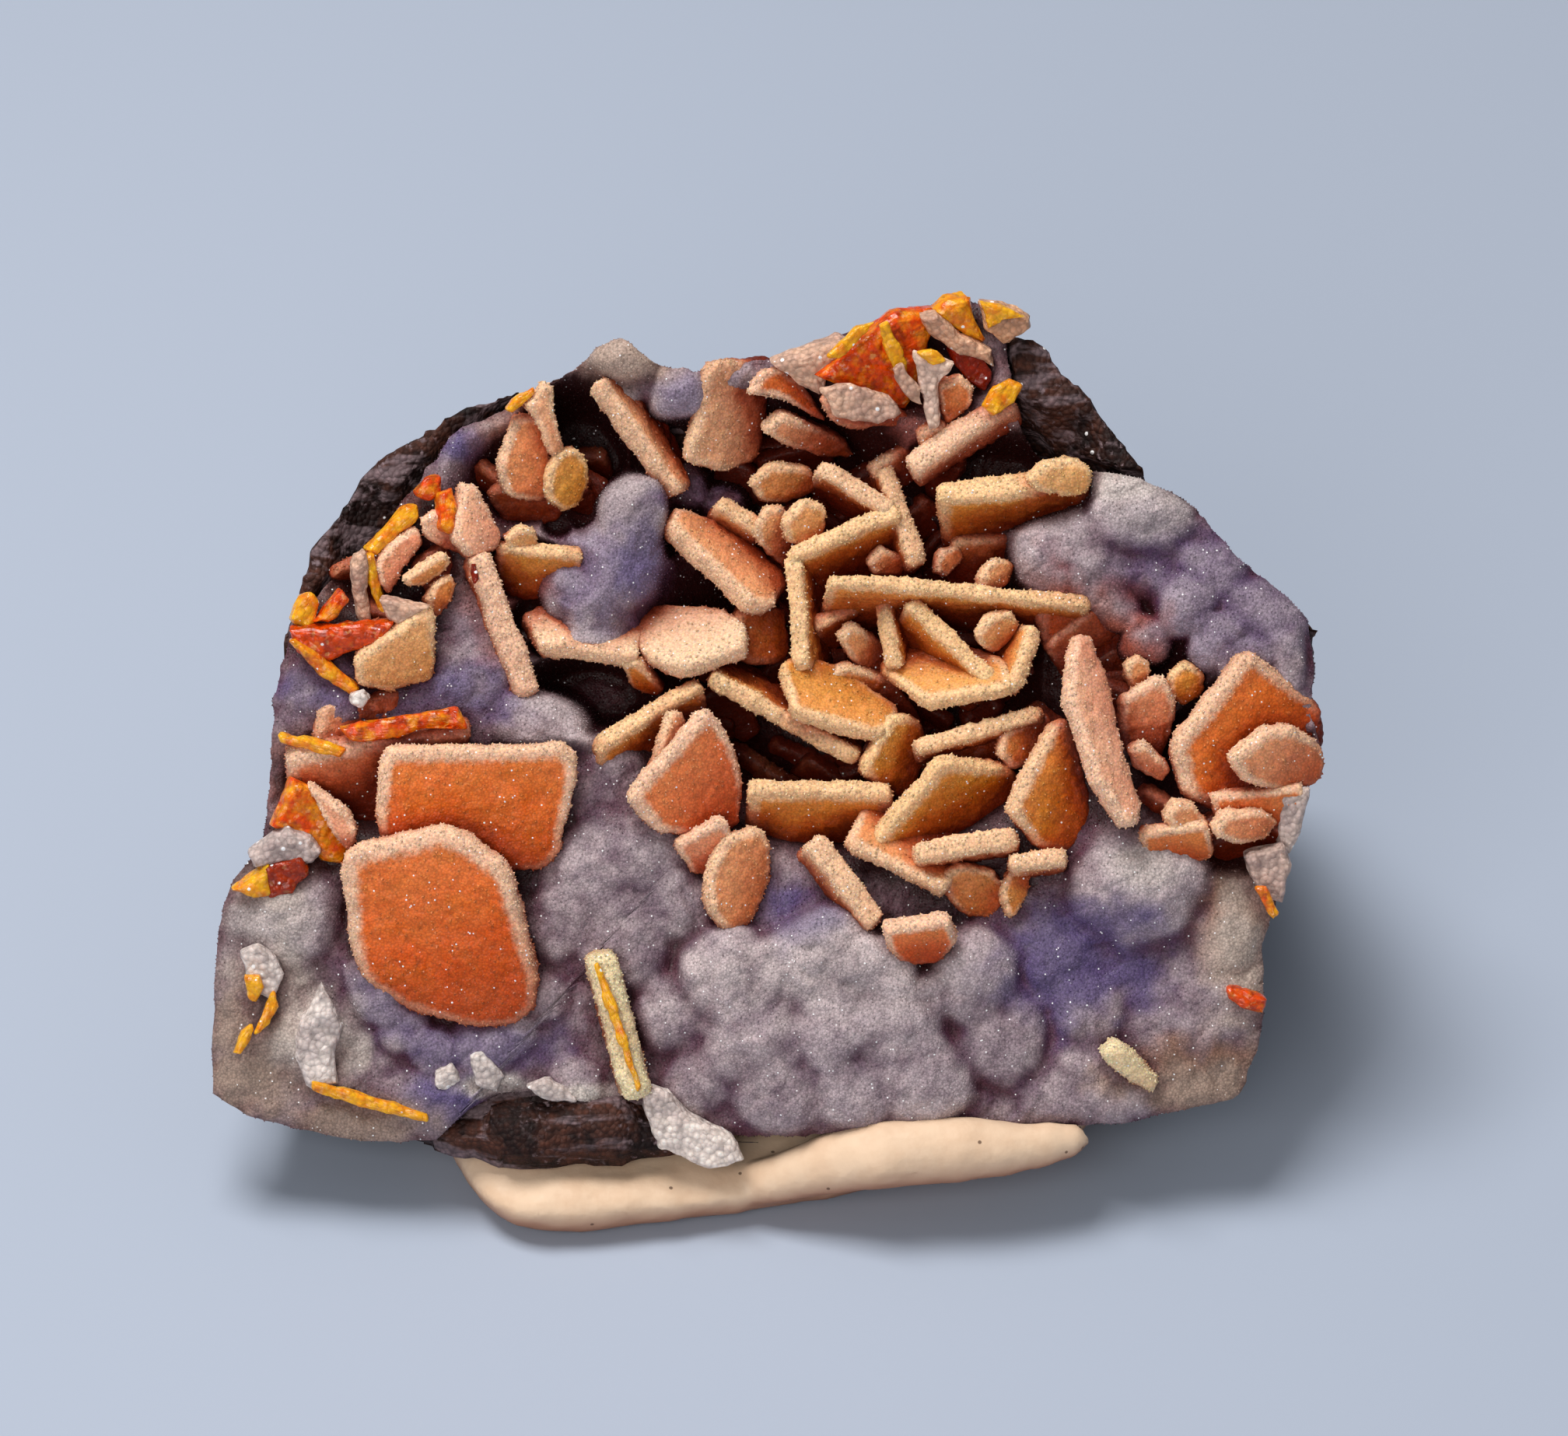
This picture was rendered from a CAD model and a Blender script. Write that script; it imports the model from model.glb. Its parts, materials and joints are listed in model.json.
"""Looks for a wulfenite specimen: sugary square plates in a hollow of lavender-grey chalcedony.

The front slopes towards the viewer. Places on it are picture pixels with a depth in millimetres,
as in the part's own source, and are turned into the shared frame, in metres.
"""

import itertools
import json
import logging
import math
import random
from collections.abc import Callable, Sequence
from dataclasses import dataclass
from enum import Enum
from functools import partial

import bmesh
import bpy
import numpy as np
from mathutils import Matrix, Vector

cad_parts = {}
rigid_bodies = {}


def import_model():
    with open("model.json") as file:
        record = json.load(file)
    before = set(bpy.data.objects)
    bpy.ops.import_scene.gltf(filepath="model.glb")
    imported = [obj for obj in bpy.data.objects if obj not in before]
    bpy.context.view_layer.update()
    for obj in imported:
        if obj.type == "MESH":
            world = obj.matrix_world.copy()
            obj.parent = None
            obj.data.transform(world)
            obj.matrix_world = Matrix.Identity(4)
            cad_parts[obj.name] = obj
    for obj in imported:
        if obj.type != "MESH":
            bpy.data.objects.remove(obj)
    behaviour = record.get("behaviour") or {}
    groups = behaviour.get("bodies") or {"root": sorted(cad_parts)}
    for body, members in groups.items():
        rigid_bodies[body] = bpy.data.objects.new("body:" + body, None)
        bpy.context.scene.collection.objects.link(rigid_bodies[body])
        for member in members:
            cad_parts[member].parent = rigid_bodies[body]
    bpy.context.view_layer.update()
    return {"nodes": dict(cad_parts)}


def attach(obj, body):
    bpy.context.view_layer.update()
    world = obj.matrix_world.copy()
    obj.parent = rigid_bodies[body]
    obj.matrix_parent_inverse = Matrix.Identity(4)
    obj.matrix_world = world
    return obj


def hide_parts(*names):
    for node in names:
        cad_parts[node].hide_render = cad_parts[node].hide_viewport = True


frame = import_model()

LOG = logging.getLogger("wulfenite")
MM = 0.001
BODY = "root"
TINY = 1e-9
SLACK = 1e-6
DRAW_SEED = 17
FIRST_GRAIN_SEED = 10
CRUST_GRAIN_SEED = 4
Array = np.ndarray
Pixel = tuple[float, float]
Socket = bpy.types.NodeSocket
Feed = Socket | float | tuple
Surface = Callable[[Array, Array], Array]


def srgb(red: float, green: float, blue: float) -> tuple[float, float, float, float]:
    """Turns a colour as a screen shows it, 0 to 255, into the linear one that shaders use.

    Args:
        red: the red channel.
        green: the green channel.
        blue: the blue channel.

    Returns:
        The linear colour with a full alpha.
    """
    shown = (channel / 255.0 for channel in (red, green, blue))
    linear = [c / 12.92 if c <= 0.04045 else ((c + 0.055) / 1.055) ** 2.4 for c in shown]
    return (*linear, 1.0)


def step_between(value: Array, low: float, high: float) -> Array:
    """A smooth step from 0 at low to 1 at high.

    Args:
        value: the numbers to step.
        low: where the step starts.
        high: where the step ends.

    Returns:
        The stepped numbers.
    """
    share = np.clip((value - low) / (high - low), 0.0, 1.0)
    return share * share * (3.0 - 2.0 * share)


def to_rows(x: Array | float, y: Array, z: Array | float = 0.0) -> Array:
    """Rows of x, y and z."""
    return np.stack(np.broadcast_arrays(x, y, z), axis=1)


def reach_of(outline: Array, angle: Array) -> Array:
    """How far an outline round the origin lies in each direction.

    Args:
        outline: its corners, as rows of x and y.
        angle: the directions, in radians.

    Returns:
        The distances.
    """
    ray_x, ray_y = np.cos(angle)[:, None], np.sin(angle)[:, None]
    side = np.roll(outline, -1, axis=0) - outline
    across = ray_x * side[:, 1] - ray_y * side[:, 0]
    across = np.where(np.abs(across) < TINY, TINY, across)
    along = (outline[:, 0] * side[:, 1] - outline[:, 1] * side[:, 0]) / across
    share = (outline[:, 0] * ray_y - outline[:, 1] * ray_x) / across
    hit = (along > 0.0) & (share >= -SLACK) & (share <= 1.0 + SLACK)
    return np.where(hit, along, 0.0).max(axis=1)


class Chance:
    """Seeded noise on arrays of points, the same on every run."""

    FACTORS = (73856093, 19349663, 83492791)
    MASK = 0xFFFFFFFF

    @classmethod
    def hashed(cls, cells: Array, seed: int) -> Array:
        """One number from 0 to 1 for each whole-numbered cell.

        Args:
            cells: cells as rows of three whole numbers.
            seed: the seed.

        Returns:
            The numbers.
        """
        whole = cells.astype(np.int64)
        mixed = np.full(len(whole), seed * 2654435761 + 12345, np.int64) & cls.MASK
        for column, factor in enumerate(cls.FACTORS):
            mixed = (mixed ^ (whole[:, column] * factor)) & cls.MASK
        for _ in range(2):
            mixed = ((mixed ^ (mixed >> 16)) * 0x45D9F3B) & cls.MASK
        return ((mixed ^ (mixed >> 16)) & cls.MASK) / float(cls.MASK)

    @classmethod
    def cellular(cls, points: Array, size: float, seed: int) -> tuple[Array, Array]:
        """Distance to the nearest of scattered points, in cell sizes, and that point's own number.

        Args:
            points: rows of x, y, z.
            size: how far apart the scattered points are.
            seed: the seed.

        Returns:
            The distances, and a number from 0 to 1 for each.
        """
        scaled = points / size
        corner = np.floor(scaled)
        nearest = np.full(len(points), 9.0)
        own = np.zeros(len(points))
        for offset in itertools.product((-1.0, 0.0, 1.0), repeat=3):
            cell = corner + np.array(offset)
            spot = np.stack([cls.hashed(cell, seed + axis) for axis in range(3)], axis=1)
            gap = np.linalg.norm(cell + spot - scaled, axis=1)
            closer = gap < nearest
            nearest[closer] = gap[closer]
            own[closer] = spot[closer, 0]
        return nearest, own

    @classmethod
    def smooth(cls, points: Array, size: float, seed: int) -> Array:
        """Smooth noise from -1 to 1.

        Args:
            points: rows of x, y, z.
            size: the width of its swells.
            seed: the seed.

        Returns:
            The noise.
        """
        scaled = points / size
        corner = np.floor(scaled)
        inside = scaled - corner
        inside = inside * inside * (3.0 - 2.0 * inside)
        total = np.zeros(len(points))
        for offset in itertools.product((0.0, 1.0), repeat=3):
            weight = np.prod(np.where(np.array(offset) > 0.5, inside, 1.0 - inside), axis=1)
            total += weight * cls.hashed(corner + np.array(offset), seed)
        return total * 2.0 - 1.0

    @classmethod
    def rough(cls, points: Array, size: float, seed: int, layers: int = 3) -> Array:
        """Several layers of smooth noise, each half as wide and half as strong.

        Args:
            points: rows of x, y, z.
            size: the width of the widest swells.
            seed: the seed.
            layers: how many layers.

        Returns:
            The noise, about -1 to 1.
        """
        total = np.zeros(len(points))
        for layer in range(layers):
            total += cls.smooth(points, size * 0.5**layer, seed + 7 * layer) * 0.5**layer
        return total


@dataclass(frozen=True)
class Front:
    """The frame of the sloping front, in mm: x right, y up along it, depth out to the viewer."""

    elevation: float = math.radians(38.0)
    origin: tuple[float, float, float] = (2.5, -1.4, 23.0)
    view_distance: float = 420.0
    pixel: float = 0.042
    picture_centre: Pixel = (1008.0, 923.0)
    picture_size: Pixel = (2016.0, 1846.0)
    middle: Pixel = (1000.0, 950.0)

    @property
    def axes(self) -> Array:
        """Rows: right, up along the front, and out of it, in the shared frame."""
        sin, cos = math.sin(self.elevation), math.cos(self.elevation)
        return np.array([[1.0, 0.0, 0.0], [0.0, sin, cos], [0.0, -cos, sin]])

    def place(self, pixel: Pixel, depth: float = 0.0) -> tuple[float, float]:
        """The front's x and y of a picture pixel at a depth along the line of sight.

        Args:
            pixel: the pixel's column and row.
            depth: how far out of the front, in mm.

        Returns:
            x and y in mm.
        """
        nearer = 1.0 - depth / self.view_distance
        x = (pixel[0] - self.picture_centre[0]) * self.pixel * nearer
        y = (self.picture_centre[1] - pixel[1]) * self.pixel * nearer
        return x, y

    def world(self, points: Array) -> Array:
        """Turns rows of x, y and depth in mm into the shared frame, in metres."""
        return (points @ self.axes + np.array(self.origin)) * MM

    def turned(self, x: Array, y: Array, at: Pixel, turn: float) -> tuple[Array, Array]:
        """Places as seen from a pixel, along and across a direction.

        Args:
            x: places across, in mm.
            y: places up, in mm.
            at: the pixel.
            turn: the direction, in degrees.

        Returns:
            How far along and how far across each place is, in mm.
        """
        cx, cy = self.place(at)
        cos, sin = math.cos(math.radians(turn)), math.sin(math.radians(turn))
        return (x - cx) * cos + (y - cy) * sin, (y - cy) * cos - (x - cx) * sin


FRONT = Front()


class Look(Enum):
    """How a plate looks."""

    COATED = "coated with sugary quartz"
    GLASSY = "bare crystal, glassy where it is broken"
    QUARTZ = "milky quartz"


@dataclass(frozen=True)
class Plate:
    """A plate: its near edge runs from a to b, and the face extends to the right of that.

    The depth is one number, or one for each end of the edge. The far corners are pixels, or else
    the face is a rectangle with a reach in mm. Gold goes from orange, 0, to olive gold, 1, and
    pale from bare to all sugary.
    """

    a: Pixel
    b: Pixel
    depth: float | tuple[float, float]
    lean: float
    thick: float
    gold: float
    far: tuple[Pixel, ...] = ()
    pale: float = 0.0
    look: Look = Look.COATED
    reach: float = 0.0
    corner: float = 0.6


glassy = partial(Plate, look=Look.GLASSY)
quartz = partial(Plate, look=Look.QUARTZ)


@dataclass(frozen=True)
class Boss:
    """A botryoid of the crust: place, radius in pixels, how far out its top is, and shape."""

    at: Pixel
    radius: float
    top: float
    stretch: float = 1.0
    turn: float = 0.0


@dataclass(frozen=True)
class Hollow:
    """An elliptical hollow in the crust: its place, half axes in pixels, depth and turn."""

    at: Pixel
    half: Pixel
    depth: float
    turn: float = 0.0


class Tone(Enum):
    """What colours a patch of the crust."""

    PALE = "pale"
    BLUE = "blue"
    WARM = "warm"
    BARE = "bare"
    RUST = "rust"


@dataclass(frozen=True)
class Patch:
    """A patch of a tone on the crust: its place, half axes in pixels and strength."""

    at: Pixel
    half: Pixel
    strength: float


HOLLOWS = (
    Hollow((1100, 850), (330, 270), 8.0), Hollow((1010, 640), (190, 160), 6.5),
    Hollow((752, 590), (85, 125), 6.5, 20.0), Hollow((850, 620), (90, 120), 6.0),
    Hollow((690, 800), (50, 60), 3.0), Hollow((715, 668), (34, 34), 3.0),
    Hollow((765, 890), (110, 62), 6.0, -8.0), Hollow((1420, 870), (150, 130), 4.0),
    Hollow((1570, 970), (130, 110), 3.4), Hollow((1270, 620), (150, 80), 5.0),
    Hollow((680, 620), (110, 80), 3.0), Hollow((690, 735), (90, 60), 2.6),
    Hollow((1590, 1070), (80, 60), 2.4), Hollow((470, 1010), (130, 70), 1.8),
    Hollow((500, 740), (90, 60), 2.0), Hollow((1190, 480), (100, 60), 1.8),
)

BOSSES = (
    Boss((812, 660), 62, -0.4, 1.2, 80.0), Boss((800, 716), 74, -0.5), Boss((766, 740), 70, -0.8),
    Boss((740, 766), 54, -1.1, 1.2, 15.0), Boss((884, 630), 38, -3.2), Boss((936, 656), 40, -3.6),
    Boss((800, 456), 46, -0.2, 1.3, 10.0), Boss((872, 500), 44, -1.0, 1.2, 60.0),
    Boss((1470, 655), 66, 0.1, 1.25, -20.0), Boss((1520, 778), 46, 0.3),
    Boss((1470, 820), 42, -0.5), Boss((1556, 826), 40, 0.2), Boss((1380, 726), 92, -0.3, 1.1, 0.0),
    Boss((1620, 800), 66, 0.3), Boss((1562, 738), 66, -0.1), Boss((1650, 850), 44, 0.3),
    Boss((1600, 856), 34, 0.1), Boss((1428, 786), 40, -0.9),
    Boss((1460, 1136), 100, 2.0, 1.1, 10.0), Boss((1080, 1320), 260, 1.5, 1.15, 0.0),
    Boss((764, 1118), 84, 1.1, 1.2, 20.0), Boss((850, 1096), 70, 0.9, 1.2, 60.0),
    Boss((716, 1190), 58, 0.5), Boss((806, 1204), 78, 0.9), Boss((885, 1160), 52, 0.7),
    Boss((940, 1250), 74, 1.9), Boss((1056, 1232), 72, 2.3, 1.4, 15.0), Boss((1134, 1240), 56, 2.0),
    Boss((862, 1296), 66, 0.9), Boss((968, 1332), 84, 1.8), Boss((1070, 1312), 70, 2.0),
    Boss((1156, 1302), 80, 2.2), Boss((1240, 1254), 72, 1.8), Boss((1190, 1384), 76, 1.7),
    Boss((1286, 1332), 74, 1.0), Boss((1098, 1402), 60, 1.4), Boss((1004, 1412), 66, 0.9),
    Boss((904, 1382), 60, 0.6), Boss((1346, 1230), 70, 0.4), Boss((1402, 1300), 60, 0.6),
    Boss((1540, 1300), 90, 0.5, 1.3, 60.0), Boss((1580, 1200), 60, 0.4),
    Boss((1400, 1400), 70, 0.6, 1.4, 5.0), Boss((620, 1350), 54, 0.5), Boss((520, 1320), 44, 0.7),
    Boss((560, 1350), 36, 0.6), Boss((660, 1330), 40, 0.5), Boss((700, 1290), 44, 0.5),
    Boss((375, 1170), 84, 1.2, 1.1, 40.0), Boss((395, 1330), 62, 0.6), Boss((486, 1270), 54, 1.1),
    Boss((690, 930), 62, 0.7, 1.2, -20.0), Boss((600, 870), 60, 0.0), Boss((420, 890), 70, 0.3),
    Boss((560, 1420), 60, 0.3, 1.4, 0.0), Boss((740, 1400), 46, 0.6),
)

PATCHES = {
    Tone.PALE: (
        Patch((385, 1320), (50, 70), 0.5), Patch((335, 1190), (70, 80), 0.45),
        Patch((1480, 1110), (60, 40), 0.5), Patch((1060, 1240), (190, 70), 0.2),
        Patch((1590, 1240), (50, 90), 0.35), Patch((1440, 610), (80, 34), 0.6),
        Patch((1490, 650), (70, 40), 0.35), Patch((400, 1320), (44, 74), 0.8),
        Patch((800, 460), (70, 50), 0.4), Patch((636, 1396), (64, 17), 0.85),
        Patch((748, 1408), (70, 15), 0.85), Patch((836, 1432), (50, 18), 0.8),
        Patch((450, 1335), (26, 60), 0.55), Patch((1400, 600), (70, 14), 0.85),
    ),
    Tone.BLUE: (
        Patch((880, 510), (44, 44), 0.5), Patch((770, 740), (90, 80), 0.5),
        Patch((1390, 1230), (130, 90), 0.8), Patch((1560, 760), (160, 130), 0.4),
        Patch((520, 1290), (120, 70), 0.45), Patch((590, 1420), (110, 50), 0.9),
        Patch((600, 1340), (120, 44), 0.6), Patch((520, 890), (160, 50), 0.75),
        Patch((838, 740), (66, 90), 0.8), Patch((600, 575), (50, 30), 0.9),
        Patch((1020, 1170), (70, 50), 0.8), Patch((910, 640), (70, 50), 0.8),
    ),
    Tone.WARM: (
        Patch((1600, 1180), (70, 130), 0.8), Patch((1540, 1390), (120, 60), 0.8),
        Patch((690, 560), (90, 80), 0.8), Patch((800, 456), (80, 44), 0.95),
        Patch((320, 1400), (60, 60), 0.5), Patch((430, 1440), (90, 30), 0.6),
        Patch((450, 700), (100, 90), 0.7), Patch((430, 1010), (90, 90), 0.7),
        Patch((1640, 1060), (60, 90), 0.9),
    ),
    Tone.BARE: (
        Patch((350, 1350), (110, 120), 0.9), Patch((470, 1440), (130, 40), 0.8),
        Patch((1610, 1180), (50, 150), 0.85), Patch((1540, 1400), (140, 40), 0.85),
        Patch((345, 1120), (60, 60), 0.6),
    ),
    Tone.RUST: (
        Patch((1150, 560), (220, 90), 0.9), Patch((1110, 840), (250, 220), 0.85),
        Patch((1400, 830), (90, 90), 0.9), Patch((640, 745), (70, 90), 0.7),
        Patch((680, 590), (60, 90), 0.6), Patch((520, 700), (70, 60), 0.6),
        Patch((1600, 1010), (90, 90), 0.8), Patch((420, 1020), (70, 70), 0.6),
    ),
}

CRUST_OUTLINE = (
    (270, 1408), (272, 1300), (276, 1200), (300, 1130), (335, 1085), (345, 1000), (350, 900),
    (368, 815), (400, 768), (455, 712), (505, 660), (545, 600), (590, 548), (650, 520), (720, 480),
    (770, 440), (800, 432), (835, 458), (890, 476), (935, 460), (1000, 458), (1065, 436),
    (1110, 415), (1150, 398), (1240, 380), (1290, 400), (1300, 460), (1308, 530), (1350, 592),
    (1400, 602), (1470, 612), (1540, 652), (1600, 718), (1685, 795), (1695, 850), (1688, 920),
    (1698, 960), (1680, 1010), (1660, 1080), (1640, 1170), (1622, 1212), (1630, 1290), (1608, 1395),
    (1585, 1412), (1450, 1442), (1330, 1452), (1200, 1458), (1003, 1464), (940, 1462), (840, 1436),
    (780, 1420), (690, 1402), (640, 1408), (600, 1428), (560, 1468), (460, 1470), (340, 1442),
)

PLATES = (
    # Left squares
    ("left_square",
     Plate((496, 958), (722, 956), (2.3, 1.9), 13, 1.3, 0.1,
         ((738, 968), (742, 1000), (722, 1092), (700, 1116), (560, 1124), (500, 1110), (484, 1060),
          (486, 975)))),
    ("front_square",
     Plate((462, 1086), (566, 1062), (2.5, 3.1), 15, 1.7, 0.05,
         ((590, 1066), (655, 1106), (668, 1150), (693, 1255), (688, 1290), (664, 1312), (610, 1318),
          (520, 1292), (466, 1258), (450, 1215), (440, 1120), (444, 1096)), corner=0.7)),
    ("left_square",
     Plate((362, 962), (606, 926), (1.0, 0.6), 35, 1.67, 0.0,
         ((600, 1010), (500, 1090), (380, 1060), (366, 1000)), 0.3),
     glassy((434, 934), (588, 908), (1.6, 1.4), 12, 0.9, 0.15,
         ((600, 936), (562, 928), (512, 948), (452, 952))),
     glassy((358, 942), (404, 950), (1.2, 1.4), 20, 0.8, 0.8,
         ((446, 962), (440, 974), (400, 964), (364, 954)))),
    # Broken plates on the left rim
    ("left_square",
     glassy((345, 1062), (375, 1000), (1.2, 1.4), 20, 1.5, 0.35,
         ((395, 1008), (425, 1045), (447, 1085), (440, 1110), (418, 1106), (380, 1072))),
     Plate((393, 1003), (450, 1042), 1.5, 20, 0.9, 0.0,
         ((462, 1070), (452, 1098), (432, 1072), (408, 1034)), 0.7)),
    ("rim_wedge",
     quartz((318, 1096), (368, 1060), (1.3, 1.5), 20, 1.7, 0.0,
         ((402, 1074), (414, 1092), (400, 1108), (360, 1106), (326, 1116)), 0.4),
     glassy((296, 1140), (346, 1106), (1.0, 1.3), 20, 1.1, 0.8, ((352, 1146), (328, 1152))),
     glassy((338, 1112), (386, 1098), 1.3, 20, 1, -0.6, ((398, 1118), (372, 1148), (346, 1152)))),
    ("amber_sliver",
     quartz((308, 1222), (335, 1213), 1.1, 15, 0.9, 0.0,
         ((352, 1225), (366, 1250), (350, 1285), (320, 1270)), 0.8),
     glassy((312, 1250), (335, 1252), 1.4, 15, 0.6, 0.9, ((340, 1268), (328, 1292), (318, 1282))),
     glassy((298, 1354), (310, 1325), 0.9, 15, 0.6, 0.9, ((324, 1314), (322, 1336), (308, 1354))),
     glassy((326, 1330), (340, 1290), 0.9, 15, 0.6, 0.7, ((352, 1274), (356, 1290), (344, 1316)))),
    ("yellow_sliver",
     glassy((402, 1388), (552, 1430), (0.8, 0.4), 15, 0.7, 0.8,
         ((552, 1442), (470, 1424), (404, 1402)))),
    # Upper left
    ("tall_blade",
     Plate((614, 708), (682, 896), (0.5, 0.4), 72, 1.37, 0.0, pale=0.55, reach=7.0),
     glassy((605, 724), (613, 724), 1.3, 5, 0.5, -0.9, ((616, 740), (610, 752), (604, 740)))),
    ("pink_ridge",
     Plate((575, 692), (588, 622), (0.1, -0.4), 20, 1.44, 0.0,
         ((606, 622), (642, 684), (640, 706), (600, 720)), 0.9),
     Plate((538, 668), (562, 652), 0.0, 20, 1.14, 0.0,
         ((602, 690), (600, 714), (570, 704), (545, 690)), 0.9)),
    ("short_blade",
     Plate((516, 742), (568, 708), (0.6, 0.4), 30, 0.76, 0.5,
         ((578, 716), (570, 732), (545, 750), (524, 752)), 0.35)),
    ("small_blade",
     Plate((546, 772), (556, 750), 0.3, 30, 0.76, 0.5,
         ((580, 736), (584, 752), (574, 776), (556, 796)), 0.25)),
    ("cast_block",
     Plate((452, 842), (545, 776), (1.0, 1.3), 20, 1.22, 0.75,
         ((557, 784), (562, 845), (556, 872), (500, 886), (458, 878)), 0.55),
     quartz((452, 716), (468, 704), 0.8, 20, 1.2, 0.6,
         ((474, 730), (472, 760), (480, 794), (462, 800), (450, 760)), 0.35),
     quartz((488, 766), (512, 768), (1.2, 1.4), 20, 1, 0.6,
         ((556, 778), (520, 800), (500, 794)), 0.45),
     Plate((478, 724), (500, 696), (0.2, 0.0), 20, 1.14, 0.0,
         ((535, 672), (542, 700), (520, 724), (500, 764), (486, 752)), 0.6)),
    ("orange_stripe",
     glassy((370, 822), (380, 817), 1.1, 10, 1.1, 0.45,
         ((420, 848), (464, 882), (458, 898), (410, 868))),
     quartz((450, 892), (468, 884), 1.4, 10, 1.1, 0.0, ((477, 898), (466, 909), (450, 905)), 1.0),
     Plate((398, 964), (412, 906), (0.2, 0.4), 16, 1.0, 0.2,
         ((500, 884), (598, 896), (612, 930), (600, 962)), 0.6)),
    ("orange_bar",
     glassy((402, 800), (438, 756), (1.0, 0.8), 20, 1.1, 0.1, ((449, 770), (426, 798))),
     glassy((372, 796), (384, 766), 0.8, 20, 1.2, 0.8,
         ((398, 760), (410, 772), (404, 800), (390, 808))),
     glassy((370, 806), (506, 798), (1.0, 1.3), 20, 1.3, -0.15,
         ((490, 824), (440, 840), (408, 850), (384, 836)))),
    ("yellow_bar",
     glassy((470, 706), (520, 650), (0.2, -0.1), 20, 1, 0.75,
         ((537, 648), (536, 666), (500, 698), (484, 714))),
     glassy((532, 634), (546, 614), -0.1, 20, 1, 0.1, ((566, 612), (566, 636), (548, 644))),
     glassy((562, 680), (560, 634), (0.2, 0.0), 20, 1.2, 0.3, ((578, 628), (586, 656), (578, 688))),
     glassy((470, 712), (480, 712), 0.7, 20, 0.8, 0.8,
         ((490, 760), (504, 792), (490, 792), (474, 750)))),
    ("gold_plate",
     Plate((637, 696), (752, 706), (-0.8, -1.2), 38, 0.92, 0.85,
         ((750, 740), (716, 768), (650, 766), (638, 730)), 0.1),
     Plate((646, 690), (668, 674), -0.7, 30, 0.86, 0.7, ((690, 682), (690, 700), (650, 704)), 0.6)),
    ("rosy_plate",
     Plate((672, 522), (698, 488), -0.9, 20, 0.99, 0.3,
         ((713, 500), (710, 520), (726, 580), (706, 586), (690, 544)), 0.8),
     glassy((650, 526), (664, 508), -0.7, 15, 0.8, 0.8,
         ((686, 496), (688, 506), (672, 520), (660, 531))),
     Plate((636, 600), (660, 530), (-1.8, -1.6), 20, 1.06, 0.2,
         ((694, 532), (708, 586), (702, 642), (650, 642)), 0.3),
     Plate((700, 604), (714, 578), -1.9, 25, 0.91, 0.9,
         ((738, 573), (753, 592), (755, 620), (744, 648), (722, 658), (700, 640)), 0.2)),
    # Round the upper hollow
    ("leaf_blade",
     Plate((864, 640), (762, 494), (-2.2, -1.2), 56, 1.44, 0.25,
         ((780, 486), (808, 508), (840, 550), (870, 602), (882, 634)), 0.55),
     Plate((850, 608), (800, 502), (-2.8, -2.0), 55, 0.84, 0.0,
         ((818, 500), (852, 545), (884, 604)), 0.4)),
    ("leaning_square",
     Plate((876, 596), (908, 464), (-2.0, -1.4), 33, 1.06, 0.35,
         ((992, 458), (972, 590), (930, 604)), 0.85),
     Plate((956, 506), (980, 476), -1.4, 20, 0.79, 0.0,
         ((1002, 470), (1036, 498), (1064, 542), (1040, 534), (1000, 508))),
     quartz((986, 462), (1052, 440), -1.2, 25, 1.7, 0.65,
         ((1078, 429), (1100, 440), (1068, 464), (1058, 508), (1026, 492)), 0.6),
     Plate((974, 552), (1004, 527), (-2.2, -2.0), 35, 1.12, 0.2,
         ((1050, 544), (1084, 560), (1096, 584), (1060, 586), (1010, 570)), 0.5)),
    ("curved_blade",
     Plate((962, 782), (853, 678), (-0.9, -1.5), 48, 1.37, 0.3,
         ((864, 656), (905, 670), (962, 702), (1002, 742), (1008, 762), (990, 786)), 0.5),
     Plate((936, 832), (944, 788), (-1.8, -2.0), 30, 1.14, 0.7,
         ((960, 774), (1006, 782), (1012, 850), (962, 856)), 0.2)),
    ("left_shelf",
     Plate((818, 850), (696, 838), -0.6, 48, 1.14, 0.2,
         ((668, 800), (688, 786), (800, 784), (834, 800)), 1.2),
     Plate((798, 846), (822, 844), (-1.0, -0.8), 40, 0.99, 0.5,
         ((856, 882), (842, 892), (812, 880)), 0.1)),
    ("middle_shelf",
     Plate((962, 838), (874, 868), (-0.3, 0.0), 44, 1.22, 0.1,
         ((828, 850), (798, 800), (846, 784), (930, 788), (960, 806)), 1.3)),
    ("elbow_plate",
     Plate((764, 956), (900, 872), (0.6, -0.5), 48, 1.12, 0.85,
         ((908, 904), (878, 920), (838, 988), (806, 1006), (764, 1004)), 0.1),
     Plate((832, 990), (858, 912), (1.3, 1.0), 30, 0.86, 0.3,
         ((876, 914), (884, 942), (856, 986), (840, 1008)), 0.7),
     Plate((802, 1024), (906, 903), (2.6, 1.6), 26, 1.19, 0.0,
         ((936, 944), (953, 1012), (948, 1058), (900, 1080), (842, 1068)), 0.15),
     Plate((862, 1082), (928, 1048), 1.6, 30, 0.86, 0.0,
         ((942, 1072), (928, 1118), (892, 1124)), 0.45)),
    # The nest
    ("centre_nest",
     Plate((1012, 714), (1158, 650), (-0.6, -1.2), 58, 0.99, 0.9,
         ((1156, 704), (1052, 772), (1026, 764)), 0.1),
     Plate((1030, 862), (1018, 714), (-0.4, -0.7), 70, 0.99, 0.85, pale=0.2, reach=4.0),
     Plate((1052, 596), (1150, 654), (-1.5, -1.2), 70, 0.99, 0.4, pale=0.3, reach=3.6),
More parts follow.
